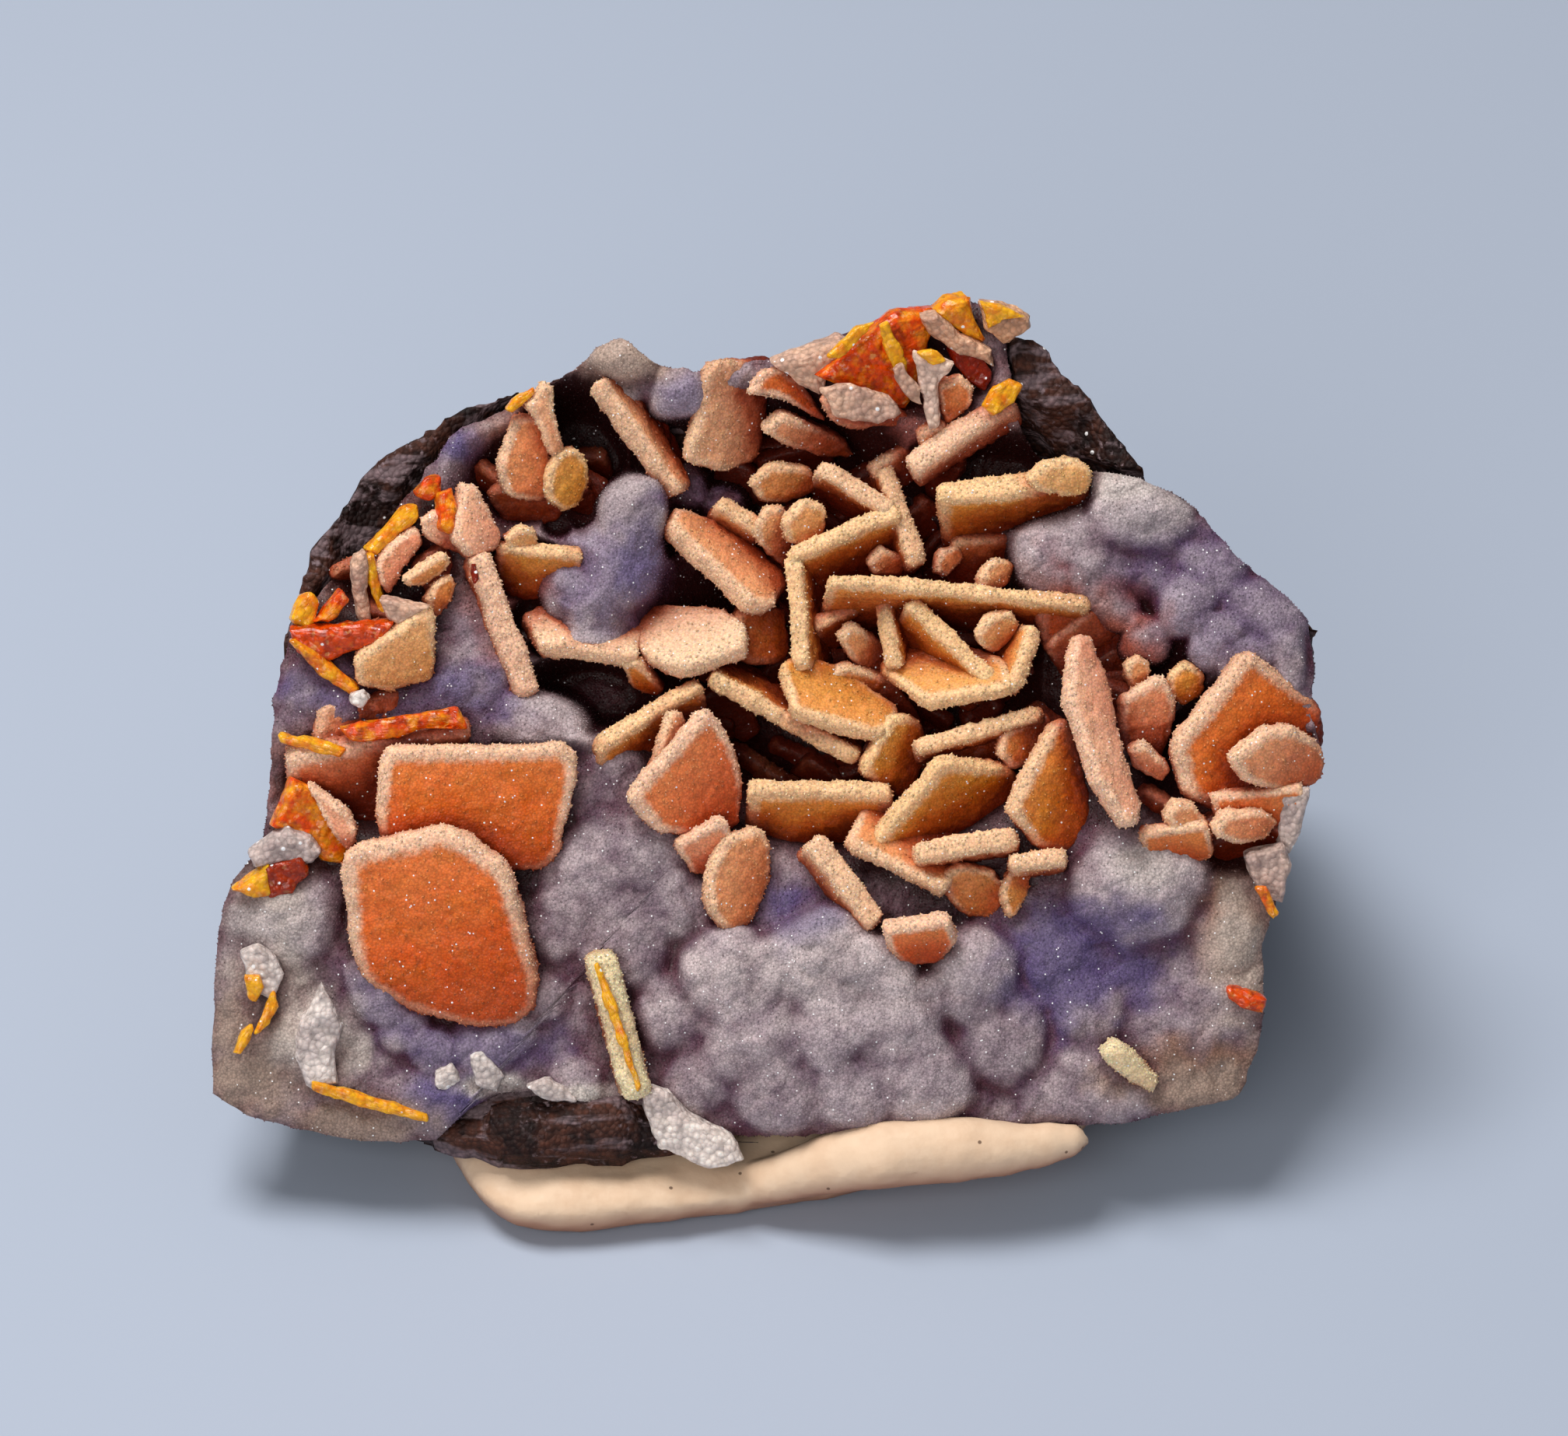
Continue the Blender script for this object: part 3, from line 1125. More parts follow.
@dataclass(frozen=True)
class SugarCoat(Finish):
    """Wulfenite under a coat of sugary quartz: pale rims, orange or gold faces, dark red feet."""

    name: str = "sugar_coated_wulfenite"
    rim: tuple = srgb(254, 200, 166)
    gold_rim: tuple = srgb(254, 202, 148)
    cream: tuple = srgb(252, 226, 180)
    orange: tuple = srgb(236, 94, 0)
    gold: tuple = srgb(232, 160, 0)
    foot: tuple = srgb(170, 52, 0)
    gold_foot: tuple = srgb(184, 104, 0)
    deep: tuple = srgb(94, 14, 0)
    dust: tuple = srgb(242, 146, 78)

    def dress(self, paint: Paint) -> None:
        """Builds the nodes.

        Args:
            paint: the material.
        """
        rim, foot, gold, pale, deep, contact, shut, grain = (
            paint.attribute(name)
            for name in ("rim", "foot", "gold", "pale", "deep", "contact", "shut", "grain")
        )
        patchy = paint.scaled(paint.clouds(1.6, 3.0, 5.0), 0.6, -0.3)
        sugar_tone = paint.mix(gold, self.rim, self.gold_rim)
        sugar_tone = paint.mix(paint.span(pale, 1.0, 2.0), sugar_tone, self.cream)
        face = paint.layers(
            self.orange, (paint.plus(gold, patchy, clamp=True), self.gold),
            (paint.span(foot, 0.65, 0.0, (0.0, 0.5)), self.dust),
        )
        thick = paint.times(pale, paint.scaled(patchy, 0.8, 0.85), clamp=True)
        bare = paint.times(paint.scaled(pale, -0.5, 1.0), paint.scaled(gold, -0.3, 1.0), clamp=True)
        low = paint.times(paint.span(foot, 0.3, 1.0, (0.0, 0.8)), bare)
        edge = paint.plus(rim, paint.scaled(paint.clouds(0.35, 2.0, 9.0), 0.8, -0.4))
        edge = paint.times(paint.span(edge, 0.2, 0.9), paint.span(foot, 1.0, 0.35, (0.3, 1.0)))
        colour = paint.layers(
            paint.mottle(face, self.dust, 0.24), (thick, sugar_tone),
            (low, paint.mix(gold, self.foot, self.gold_foot)), (edge, sugar_tone),
            (paint.times(grain, 0.08), sugar_tone), (paint.times(contact, 0.3), self.foot),
            (paint.span(shut, 0.12, 0.6, (0.0, 0.8)), self.foot),
            (paint.span(shut, 0.45, 0.95, (0.0, 0.85)), self.deep),
            (paint.times(deep, 0.55), self.deep),
        )
        speckle = paint.scaled(paint.plus(edge, grain, clamp=True), 0.22, 0.12)
        rough, height = paint.sugar(colour, 0.14, speckle, 0.25, 0.02)
        paint.soften(0.35, 0.5, (1.0, 0.35, 0.12))
        paint.relief(rough, height, 0.35, 0.08)


@dataclass(frozen=True)
class GlassyCrystal(Finish):
    """Bare wulfenite where a plate is broken: glossy, granular, orange-red to yellow."""

    name: str = "glassy_wulfenite"
    red: tuple = srgb(222, 74, 4)
    amber: tuple = srgb(246, 176, 30)
    dark: tuple = srgb(120, 22, 2)
    vein: tuple = srgb(244, 190, 120)

    def dress(self, paint: Paint) -> None:
        """Builds the nodes.

        Args:
            paint: the material.
        """
        gold = paint.attribute("gold")
        patchy = paint.scaled(paint.clouds(0.7, 4.0, 21.0), 2.4, -1.2)
        shade = paint.span(paint.scaled(gold, 0.16, paint.clouds(0.5, 4.0, 31.0)), 0.5, 0.36)
        veins = paint.span(paint.clouds(0.4, 4.0, 41.0), 0.6, 0.68)
        colour = paint.layers(
            self.red, (paint.plus(gold, patchy, clamp=True), self.amber),
            (paint.times(shade, 0.5), self.dark), (paint.times(veins, 0.4), self.vein),
            (paint.times(gold, -1.0, clamp=True), self.dark),
        )
        rough, height = paint.sugar(colour, 0.26, 0.3, 0.15, 0.01)
        paint.shader.inputs["Coat Weight"].default_value = 0.3
        paint.soften(0.3, 0.8, (1.0, 0.4, 0.1))
        paint.relief(paint.times(rough, 0.5), height, 0.4, 0.12)


@dataclass(frozen=True)
class MilkyQuartz(Finish):
    """Broken milky quartz, grey-lilac to white, warm where crystal lies under it."""

    name: str = "milky_quartz"
    grey: tuple = srgb(184, 156, 148)
    white: tuple = srgb(248, 236, 228)
    warm: tuple = srgb(236, 176, 130)
    shade: tuple = srgb(126, 98, 104)

    def dress(self, paint: Paint) -> None:
        """Builds the nodes.

        Args:
            paint: the material.
        """
        pale, gold = paint.attribute("pale"), paint.attribute("gold")
        colour = paint.layers(self.grey, (pale, self.white), (gold, self.warm))
        _, height = paint.sugar(paint.mottle(colour, self.shade, 0.4), 0.3, 0.35, 0.3, 0.03)
        rough = paint.span(paint.clouds(0.6, 3.0, 51.0), 0.35, 0.65, (0.22, 0.5))
        paint.soften(0.4, 0.8, (1.0, 0.8, 0.7))
        paint.relief(rough, paint.plus(paint.clouds(0.5, 5.0, 53.0), height), 0.5, 0.2)


@dataclass(frozen=True)
class DrusyChalcedony(Finish):
    """Lavender-grey chalcedony: pale tops, purple hollows, odd blue and warm places."""

    name: str = "drusy_chalcedony"
    low: tuple = srgb(98, 68, 85)
    high: tuple = srgb(204, 186, 188)
    purple: tuple = srgb(74, 46, 84)
    blue: tuple = srgb(90, 76, 124)
    pale: tuple = srgb(220, 208, 198)
    warm: tuple = srgb(156, 112, 84)
    bare: tuple = srgb(160, 138, 124)
    rust: tuple = srgb(150, 62, 26)
    shade: tuple = srgb(92, 44, 52)
    sunk: tuple = srgb(44, 6, 4)

    def dress(self, paint: Paint) -> None:
        """Builds the nodes.

        Args:
            paint: the material.
        """
        swell = paint.scaled(paint.clouds(1.0, 4.0, 2.0), 0.9, -0.45)
        rise = paint.span(paint.plus(paint.attribute("rise"), swell), -0.1, 1.0)
        shut = paint.attribute("shut")
        colour = paint.layers(
            paint.mottle(paint.mix(rise, self.low, self.high), self.purple, 0.25),
            (paint.attribute("blue"), self.blue), (paint.attribute("warm"), self.warm),
            (paint.attribute("bare"), self.bare), (paint.attribute("pale"), self.pale),
            (paint.attribute("sunk"), self.sunk), (paint.attribute("rust"), self.rust),
            (paint.span(shut, 0.15, 0.6, (0.0, 0.55)), self.shade),
            (paint.span(shut, 0.5, 0.95, (0.0, 0.9)), self.sunk),
        )
        rough, height = paint.sugar(colour, 0.13, 0.34, 0.3, 0.016)
        paint.soften(0.25, 0.5, (1.0, 0.7, 0.8))
        paint.relief(rough, height, 0.4, 0.08)


@dataclass(frozen=True)
class HostRockFinish(Finish):
    """Dark brown host rock with paler streaks and rusty places."""

    name: str = "host_rock"
    dark: tuple = srgb(28, 9, 7)
    brown: tuple = srgb(80, 44, 32)
    streak: tuple = srgb(128, 108, 112)

    def dress(self, paint: Paint) -> None:
        """Builds the nodes.

        Args:
            paint: the material.
        """
        grit = paint.span(paint.clouds(0.4, 4.0, 13.0), 0.56, 0.7)
        streaked = paint.times(grit, paint.span(paint.clouds(4.0, 2.0, 17.0), 0.45, 0.6))
        lying = paint.add(
            "ShaderNodeMapping", Vector=paint.millimetres(), Rotation=(0.0, 0.7, 0.6),
            Scale=(0.14, 0.9, 0.9),
        )
        grain = paint.add(
            "ShaderNodeTexNoise", Vector=lying.outputs["Vector"], Scale=1.0, Detail=4.0
        )
        bands = paint.span(grain.outputs["Fac"], 0.5, 0.6, (0.0, 0.75))
        colour = paint.mottle(self.dark, self.brown, 0.9)
        colour = paint.layers(colour, (streaked, self.streak), (bands, self.streak))
        rough, height = paint.sugar(colour, 0.3, 0.5, 0.3, 0.004)
        height = paint.plus(paint.clouds(0.8, 6.0, 19.0), height)
        paint.relief(paint.scaled(rough, 0.5, 0.45), height, 0.7, 0.25)


@dataclass(frozen=True)
class PuttyFinish(Finish):
    """Cream putty, smooth and a little waxy, with dark specks."""

    name: str = "mounting_putty"
    cream: tuple = srgb(230, 200, 170)
    shade: tuple = srgb(214, 178, 146)
    under: tuple = srgb(164, 116, 92)
    speck: tuple = srgb(84, 56, 42)

    def dress(self, paint: Paint) -> None:
        """Builds the nodes.

        Args:
            paint: the material.
        """
        specks = paint.add(
            "ShaderNodeTexVoronoi", Vector=paint.millimetres(), Scale=0.6, Randomness=1.0
        )
        spot = paint.times(paint.span(specks.outputs["Distance"], 0.075, 0.05), 0.8)
        colour = paint.mottle(self.cream, self.shade, 0.45)
        colour = paint.layers(colour, (paint.attribute("under"), self.under), (spot, self.speck))
        paint.feed(paint.shader.inputs["Base Color"], colour)
        rough = paint.span(paint.clouds(1.5, 2.0, 27.0), 0.3, 0.7, (0.38, 0.6))
        paint.relief(rough, paint.clouds(0.5, 4.0, 29.0), 0.25, 0.15)


@dataclass(frozen=True)
class FloorFinish(Finish):
    """The plain pale floor."""

    name: str = "pale_floor"
    colour: tuple = srgb(171, 181, 198)

    def dress(self, paint: Paint) -> None:
        """Sets the floor's plain colour and roughness."""
        paint.shader.inputs["Base Color"].default_value = self.colour
        paint.shader.inputs["Roughness"].default_value = 0.6


class Shell:
    """Corners, faces and per-corner numbers of a mesh while it is built."""

    def __init__(self) -> None:
        """Starts an empty shell."""
        self.points: list[Array] = []
        self.faces: list[tuple[int, ...]] = []
        self.numbers: dict[str, list[Array]] = {}
        self.count = 0

    def extend(self, points: Array, faces: Sequence[tuple[int, ...]], **numbers: Array) -> None:
        """Adds a closed body.

        Args:
            points: its corners, in metres.
            faces: its faces, as rows of corner numbers.
            numbers: a number for each corner, by attribute name.
        """
        self.points.append(points)
        self.faces.extend(tuple(index + self.count for index in face) for face in faces)
        for name, values in numbers.items():
            self.numbers.setdefault(name, []).append(np.broadcast_to(values, len(points)))
        self.count += len(points)

    def mesh(self, name: str, smooth: bool = True) -> bpy.types.Mesh:
        """Makes the mesh.

        Args:
            name: its name.
            smooth: whether it is shaded smooth, or in facets.

        Returns:
            The mesh, with its faces pointing outwards.
        """
        mesh = bpy.data.meshes.new(name)
        mesh.from_pydata(np.concatenate(self.points).tolist(), [], self.faces)
        for title, parts in self.numbers.items():
            layer = mesh.attributes.new(title, "FLOAT", "POINT")
            layer.data.foreach_set("value", np.concatenate(parts).astype(np.float32))
        bm = bmesh.new()
        bm.from_mesh(mesh)
        bmesh.ops.recalc_face_normals(bm, faces=bm.faces[:])
        bm.to_mesh(mesh)
        bm.free()
        if smooth:
            mesh.shade_smooth()
        return mesh


def two_sided(across: int, up: int, step: int = 1) -> tuple[list[tuple[int, ...]], Array]:
    """Faces of two grids of cells that share their outline, the back one coarser.

    Args:
        across: cells across.
        up: cells up.
        step: cells of the front for each cell of the back.

    Returns:
        The faces, and the front's corners that the back has copies of, which follow the front's.
    """
    wide = up + 1
    size = (across + 1) * wide
    faces = [
        (i * wide + j, (i + 1) * wide + j, (i + 1) * wide + j + 1, i * wide + j + 1)
        for i, j in itertools.product(range(across), range(up))
    ]
    back = []
    for i, j in itertools.product(range(0, across, step), range(0, up, step)):
        around = [(i + k, j) for k in (range(step) if j == 0 else (0,))]
        around += [(i + step, j + k) for k in (range(step) if i + step == across else (0,))]
        around += [(i + step - k, j + step) for k in (range(step) if j + step == up else (0,))]
        around += [(i, j + step - k) for k in (range(step) if i == 0 else (0,))]
        face = [
            a * wide + b + (0 if a in (0, across) or b in (0, up) else size) for a, b in around
        ]
        back.append(face[::-1])
    used = sorted({index for face in back for index in face if index >= size})
    renumber = {index: number for number, index in enumerate(used, start=size)}
    faces += [tuple(renumber.get(index, index) for index in face) for face in back]
    return faces, np.array(used) - size


def displace(mesh: bpy.types.Mesh, amount: Callable[[Array], Array]) -> None:
    """Moves each corner along its normal.

    Args:
        mesh: the mesh.
        amount: gives the distance in mm for rows of places in mm.
    """
    count = len(mesh.vertices)
    places = np.empty(count * 3)
    normals = np.empty(count * 3)
    mesh.vertices.foreach_get("co", places)
    mesh.vertex_normals.foreach_get("vector", normals)
    places, normals = places.reshape(-1, 3), normals.reshape(-1, 3)
    moved = places + normals * amount(places / MM)[:, None] * MM
    mesh.vertices.foreach_set("co", moved.ravel())
    mesh.update()


def make_object(
    name: str, mesh: bpy.types.Mesh, material: bpy.types.Material
) -> bpy.types.Object:
    """Makes an object of a mesh, in the scene.

    Args:
        name: its name.
        mesh: the mesh.
        material: its only material.

    Returns:
        The object.
    """
    piece = bpy.data.objects.new(name, mesh)
    mesh.materials.clear()
    mesh.materials.append(material)
    bpy.context.scene.collection.objects.link(piece)
    return piece


def settle(piece: bpy.types.Object, slot: str, *nodes: str) -> None:
    """Ties a finished piece to the frame and reports it.

    Args:
        piece: the piece.
        slot: the record's material slot.
        nodes: the CAD nodes that it stands for.
    """
    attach(piece, BODY)
    if nodes:
        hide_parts(*nodes)
    LOG.info("%s: %d faces", piece.name, len(piece.data.polygons))


def remesh_piece(piece: bpy.types.Object, voxel: float) -> None:
    """Melts a piece's overlapping bodies into one skin of even faces.

    Args:
        piece: the piece.
        voxel: the size of a face, in mm.
    """
    remesh = piece.modifiers.new("Remesh", "REMESH")
    remesh.mode = "VOXEL"
    remesh.voxel_size = voxel * MM
    remesh.use_smooth_shade = True
    graph = bpy.context.evaluated_depsgraph_get()
    baked = bpy.data.meshes.new_from_object(piece.evaluated_get(graph), depsgraph=graph)
    piece.modifiers.remove(remesh)
    piece.data = baked


@dataclass(frozen=True)
class Grains:
    """Quartz points to strew: their spacing and sizes in mm, number in a square metre and tilt."""

    spacing: float
    density: float
    smallest: float
    largest: float
    tilt: float = 0.5

    def inputs(self) -> dict[str, float]:
        """The values of the tree's inputs, by name."""
        return {
            "Spacing": self.spacing * MM, "Density": self.density, "Tilt": self.tilt,
            "Smallest": self.smallest * MM, "Largest": self.largest * MM,
        }


class GrainScatter:
    """Strews small quartz points over a mesh with Geometry Nodes and bakes the result."""

    INPUTS = {
        "Geometry": "Geometry", "Crystal": "Object", "Spacing": "Float", "Density": "Float",
        "Smallest": "Float", "Largest": "Float", "Tilt": "Float", "Seed": "Int",
        "Finish": "Material", "Keep Base": "Bool",
    }

    def __init__(self) -> None:
        """Builds the tree and the crystal once."""
        self.tree = self.build_tree()
        self.crystal = self.build_crystal()

    @staticmethod
    def build_crystal() -> bpy.types.Object:
        """A four-sided quartz point of size 1, its foot a little below the surface."""
        mesh = bpy.data.meshes.new("quartz_point")
        foot = [(0.5, 0.0, -0.2), (0.0, 0.5, -0.2), (-0.5, 0.0, -0.2), (0.0, -0.5, -0.2)]
        faces = [(0, 1, 4), (1, 2, 4), (2, 3, 4), (3, 0, 4), (3, 2, 1, 0)]
        mesh.from_pydata([*foot, (0.0, 0.0, 0.5)], [], faces)
        return bpy.data.objects.new("quartz_point", mesh)

    def build_tree(self) -> bpy.types.NodeTree:
        """Builds the Geometry Nodes tree.

        Returns:
            The tree.
        """
        tree = bpy.data.node_groups.new("quartz_points", "GeometryNodeTree")
        for title, kind in self.INPUTS.items():
            tree.interface.new_socket(
                name=title, in_out="INPUT", socket_type=f"NodeSocket{kind}"
            )
        tree.interface.new_socket(
            name="Geometry", in_out="OUTPUT", socket_type="NodeSocketGeometry"
        )
        wiring = Wiring(tree)
        given = wiring.add("NodeGroupInput").outputs
        mask = wiring.add(
            "GeometryNodeInputNamedAttribute", {"data_type": "FLOAT"}, Name="sugar"
        )
        points = wiring.add(
            "GeometryNodeDistributePointsOnFaces",
            {"distribute_method": "POISSON"},
            Mesh=given["Geometry"], Distance_Min=given["Spacing"], Density_Max=given["Density"],
            Density_Factor=mask.outputs["Attribute"], Seed=given["Seed"],
        )
        marked = wiring.add(
            "GeometryNodeStoreNamedAttribute",
            {"data_type": "FLOAT", "domain": "POINT"},
            Geometry=points.outputs["Points"], Name="grain", Value=1.0,
        )
        tilt_low = wiring.times(given["Tilt"], -1.0)
        low = wiring.add("ShaderNodeCombineXYZ", X=tilt_low, Y=tilt_low, Z=0.0)
        high = wiring.add("ShaderNodeCombineXYZ", X=given["Tilt"], Y=given["Tilt"], Z=math.tau)
        spin = wiring.add(
            "FunctionNodeRandomValue", {"data_type": "FLOAT_VECTOR"}, low.outputs[0],
            high.outputs[0], Seed=given["Seed"],
        )
        turned = wiring.add(
            "FunctionNodeRotateRotation", {"rotation_space": "LOCAL"},
            points.outputs["Rotation"], spin.outputs[0],
        )
        size = wiring.add("FunctionNodeRandomValue", {"data_type": "FLOAT"}, Seed=given["Seed"])
        wiring.feed(size.inputs[2], given["Smallest"])
        wiring.feed(size.inputs[3], given["Largest"])
        crystal = wiring.add("GeometryNodeObjectInfo", Object=given["Crystal"])
        placed = wiring.add(
            "GeometryNodeInstanceOnPoints",
            Points=marked.outputs["Geometry"], Instance=crystal.outputs["Geometry"],
            Rotation=turned.outputs[0], Scale=size.outputs[1],
        )
        switch = wiring.add(
            "GeometryNodeSwitch", {"input_type": "GEOMETRY"}, Switch=given["Keep Base"]
        )
        wiring.feed(switch.inputs["True"], given["Geometry"])
        join = wiring.add("GeometryNodeJoinGeometry")
        wiring.feed(join.inputs[0], placed.outputs[0])
        wiring.feed(join.inputs[0], switch.outputs[0])
        real = wiring.add("GeometryNodeRealizeInstances", Geometry=join.outputs[0])
        dressed = wiring.add(
            "GeometryNodeSetMaterial", Geometry=real.outputs[0], Material=given["Finish"]
        )
        wiring.add("NodeGroupOutput", None, dressed.outputs[0])
        return tree

    def strew(self, piece: bpy.types.Object, grains: Grains, seed: int, keep_base: bool) -> None:
        """Adds quartz points to a piece and makes the result its mesh.

        Args:
            piece: the piece, whose "sugar" number says where the points go.
            grains: the points.
            seed: the seed.
            keep_base: whether the piece's own faces stay.
        """
        values = {
            **grains.inputs(), "Crystal": self.crystal, "Finish": piece.data.materials[0],
            "Seed": seed, "Keep Base": keep_base,
        }
        modifier = piece.modifiers.new("quartz_points", "NODES")
        modifier.node_group = self.tree
        for item in self.tree.interface.items_tree:
            if item.in_out == "INPUT" and item.name in values:
                modifier[item.identifier] = values[item.name]
        graph = bpy.context.evaluated_depsgraph_get()
        baked = bpy.data.meshes.new_from_object(
            piece.evaluated_get(graph), preserve_all_data_layers=True, depsgraph=graph
        )
        piece.modifiers.remove(modifier)
        baked.name = piece.name
        piece.data = baked


class Cover:
    """How far out everything on the front stands, to tell which places are shut in."""

    cell: float = 0.3
    half: tuple[float, float] = (33.0, 25.0)
    rings: tuple[float, ...] = (0.6, 1.3, 2.6)
    directions: int = 8
    slope_share: float = 0.8
    upper_share: float = 0.4
    contrast: float = 1.5

    def __init__(self, surface: Surface) -> None:
        """Starts with the bare crust.

        Args:
            surface: gives how far out the crust lies at places on the front.
        """
        self.size = tuple(int(2.0 * side / self.cell) + 1 for side in self.half)
        lines = (np.arange(count) * self.cell - side for count, side in zip(self.size, self.half))
        x, y = np.meshgrid(*lines, indexing="ij")
        self.heights = surface(x.ravel(), y.ravel()).reshape(self.size)

    def cells(self, x: Array, y: Array) -> tuple[Array, ...]:
        """The grid's cells at places on the front."""
        return tuple(
            np.clip(np.rint((value + side) / self.cell).astype(int), 0, count - 1)
            for value, side, count in zip((x, y), self.half, self.size)
        )

    def add(self, places: Array) -> None:
        """Takes in the corners of a plate."""
        np.maximum.at(self.heights, self.cells(places[:, 0], places[:, 1]), places[:, 2])

    def shut(self, places: Array) -> Array:
        """How shut in each place is by what stands round it, above it most of all.

        Args:
            places: the places on the front, in mm.

        Returns:
            The amounts, 0 to 1.
        """
        total = np.zeros(len(places))
        for radius in self.rings:
            for turn in np.arange(self.directions) / self.directions * math.tau:
                x = places[:, 0] + radius * math.cos(turn)
                y = places[:, 1] + radius * math.sin(turn)
                slope = (self.heights[self.cells(x, y)] - places[:, 2]) / radius
                weight = 1.0 + self.upper_share * math.sin(turn)
                total += np.clip(slope * self.slope_share, 0.0, 1.0) * weight
        return np.clip(total / (len(self.rings) * self.directions) * self.contrast, 0.0, 1.0)


@dataclass
class Crust:
    """The botryoidal crust that covers the front and lines the hollow."""

    thickness: float = 2.2
    across: int = 288
    up: int = 224
    wall: int = 4
    back_step: int = 8
    half_size: tuple[float, float] = (30.0, 22.5)
    wall_depth: float = 1.5
    top_lean: float = 0.10
    blend: float = 1.7
    pebble: float = 1.3
    pebble_height: float = 0.26
    lump: float = 2.6
    lump_shift: float = 0.55
    grains: Grains = Grains(0.2, 13.0e6, 0.1, 0.2)

    def base(self, x: Array, y: Array) -> Array:
        """How far out the crust lies, before its round bosses.

        Args:
            x: places across, in mm.
            y: places up, in mm.

        Returns:
            The depths in mm.
        """
        sunk = np.zeros_like(x)
        for hollow in HOLLOWS:
            along, cross = FRONT.turned(x, y, hollow.at, hollow.turn)
            half = np.array(hollow.half) * FRONT.pixel
            r = np.hypot(along / half[0], cross / half[1])
            sunk = np.maximum(sunk, hollow.depth * step_between(1.6 * (1.05 - r), 0.0, 1.0))
        return -self.top_lean * np.maximum(y, 0.0) - sunk

    def wander(self, x: Array, y: Array) -> tuple[Array, Array]:
        """Places shifted a little, so that round bosses come out lumpy."""
        shifts = (Chance.smooth(to_rows(x, y), self.lump, seed) for seed in (3, 4))
        return tuple(side + self.lump_shift * shift for side, shift in zip((x, y), shifts))

    def surface(self, x: Array, y: Array) -> Array:
        """How far out the crust's surface lies, bosses included.

        Args:
            x: places across, in mm.
            y: places up, in mm.

        Returns:
            The depths in mm.
        """
        depth = self.base(x, y)
        x, y = self.wander(x, y)
        for boss in BOSSES:
            radius = boss.radius * FRONT.pixel
            along, cross = FRONT.turned(x, y, boss.at, boss.turn)
            off = np.hypot(along / boss.stretch, cross)
            dome = boss.top - radius + np.sqrt(np.maximum(radius**2 - off**2, 0.0))
            corner = np.maximum(self.blend - np.abs(depth - dome), 0.0) / self.blend
            joined = np.maximum(depth, dome) + corner**2 * self.blend * 0.25
            near = 1.0 - step_between(off / radius, 0.7, 1.0)
            depth = depth + (joined - depth) * near
        return depth

    def relief(self, x: Array, y: Array) -> Array:
        """The surface with its small pebbles and roughness.

        Args:
            x: places across, in mm.
            y: places up, in mm.

        Returns:
            The depths in mm.
        """
        flat = to_rows(x, y)
        wander = to_rows(Chance.smooth(flat, 1.5, 9), Chance.smooth(flat, 1.5, 10))
        gap, own = Chance.cellular(flat + wander * 0.5, self.pebble, 5)
        pebbles = np.sqrt(np.clip(1.0 - gap**2, 0.0, 1.0)) * self.pebble_height * (0.4 + own)
        gap, own = Chance.cellular(flat + wander * 0.3, self.pebble * 0.45, 6)
        fine = np.sqrt(np.clip(1.0 - gap**2, 0.0, 1.0)) * self.pebble_height * 0.35 * (0.3 + own)
        rough = Chance.rough(flat, 0.6, 8) * 0.05
        return self.surface(x, y) + pebbles + fine + rough - self.pebble_height

    def tones(self, x: Array, y: Array) -> dict[str, Array]:
        """How much of each tone there is at each place.

        Args:
            x: places across, in mm.
            y: places up, in mm.

        Returns:
            The amounts, 0 to 1, by the tone's name.
        """
        ragged = Chance.rough(to_rows(x, y), 1.5, 40) * 0.3
        amounts = {}
        for tone, patches in PATCHES.items():
            total = np.zeros_like(x)
            for patch in patches:
                cx, cy = FRONT.place(patch.at)
                half = np.array(patch.half) * FRONT.pixel
                r = np.hypot((x - cx) / half[0], (y - cy) / half[1]) + ragged
                share = 1.0 - step_between(r, 0.45, 1.25)
                total = np.maximum(total, patch.strength * share)
            amounts[tone.value] = total
        return amounts

    def build(self, material: bpy.types.Material, cover: Cover, scatter: GrainScatter) -> None:
        """Builds the crust and the quartz points on it.

        Args:
            material: the crust's finish.
            cover: everything on the front, to tell which places are shut in.
            scatter: what strews the quartz points.
        """
        cells = (self.across + 2 * self.wall, self.up + 2 * self.wall)
        i, j = np.meshgrid(*(np.arange(count + 1) for count in cells), indexing="ij")
        s = (i.ravel() - self.wall) / self.across * 2.0 - 1.0
        t = (j.ravel() - self.wall) / self.up * 2.0 - 1.0
        past = [
            np.maximum(np.abs(side) - 1.0, 0.0) * count
            for side, count in ((s, self.across), (t, self.up))
        ]
        beyond = np.maximum(*past) / (2.0 * self.wall)
        s, t = np.clip(s, -1.0, 1.0), np.clip(t, -1.0, 1.0)
        angle = np.arctan2(t * self.half_size[1], s * self.half_size[0])
        share = np.maximum(np.abs(s), np.abs(t))
        cx, cy = FRONT.place(FRONT.middle)
        outline = np.array([FRONT.place(corner) for corner in CRUST_OUTLINE]) - (cx, cy)
        ring = to_rows(np.cos(angle), np.sin(angle)) * 25.0
        ragged = (Chance.rough(ring, 1.2, 30) * 0.16 - 0.1) * step_between(share, 0.9, 1.0)
        reach = reach_of(outline, angle) + ragged
        x = cx + reach * share * np.cos(angle)
        y = cy + reach * share * np.sin(angle)
        depth = self.relief(x, y) - 0.25 * step_between(share, 0.97, 1.0)
        bulge = Chance.rough(to_rows(x, y, beyond * 2.0), 0.8, 31) * 0.12 * np.sign(beyond)
        x = x + np.cos(angle) * bulge
        y = y + np.sin(angle) * bulge
        depth = depth - beyond * self.wall_depth
        back = to_rows(x, y, np.minimum(self.base(x, y) - self.thickness, depth - 0.3))
        faces, copied = two_sided(*cells, self.back_step)
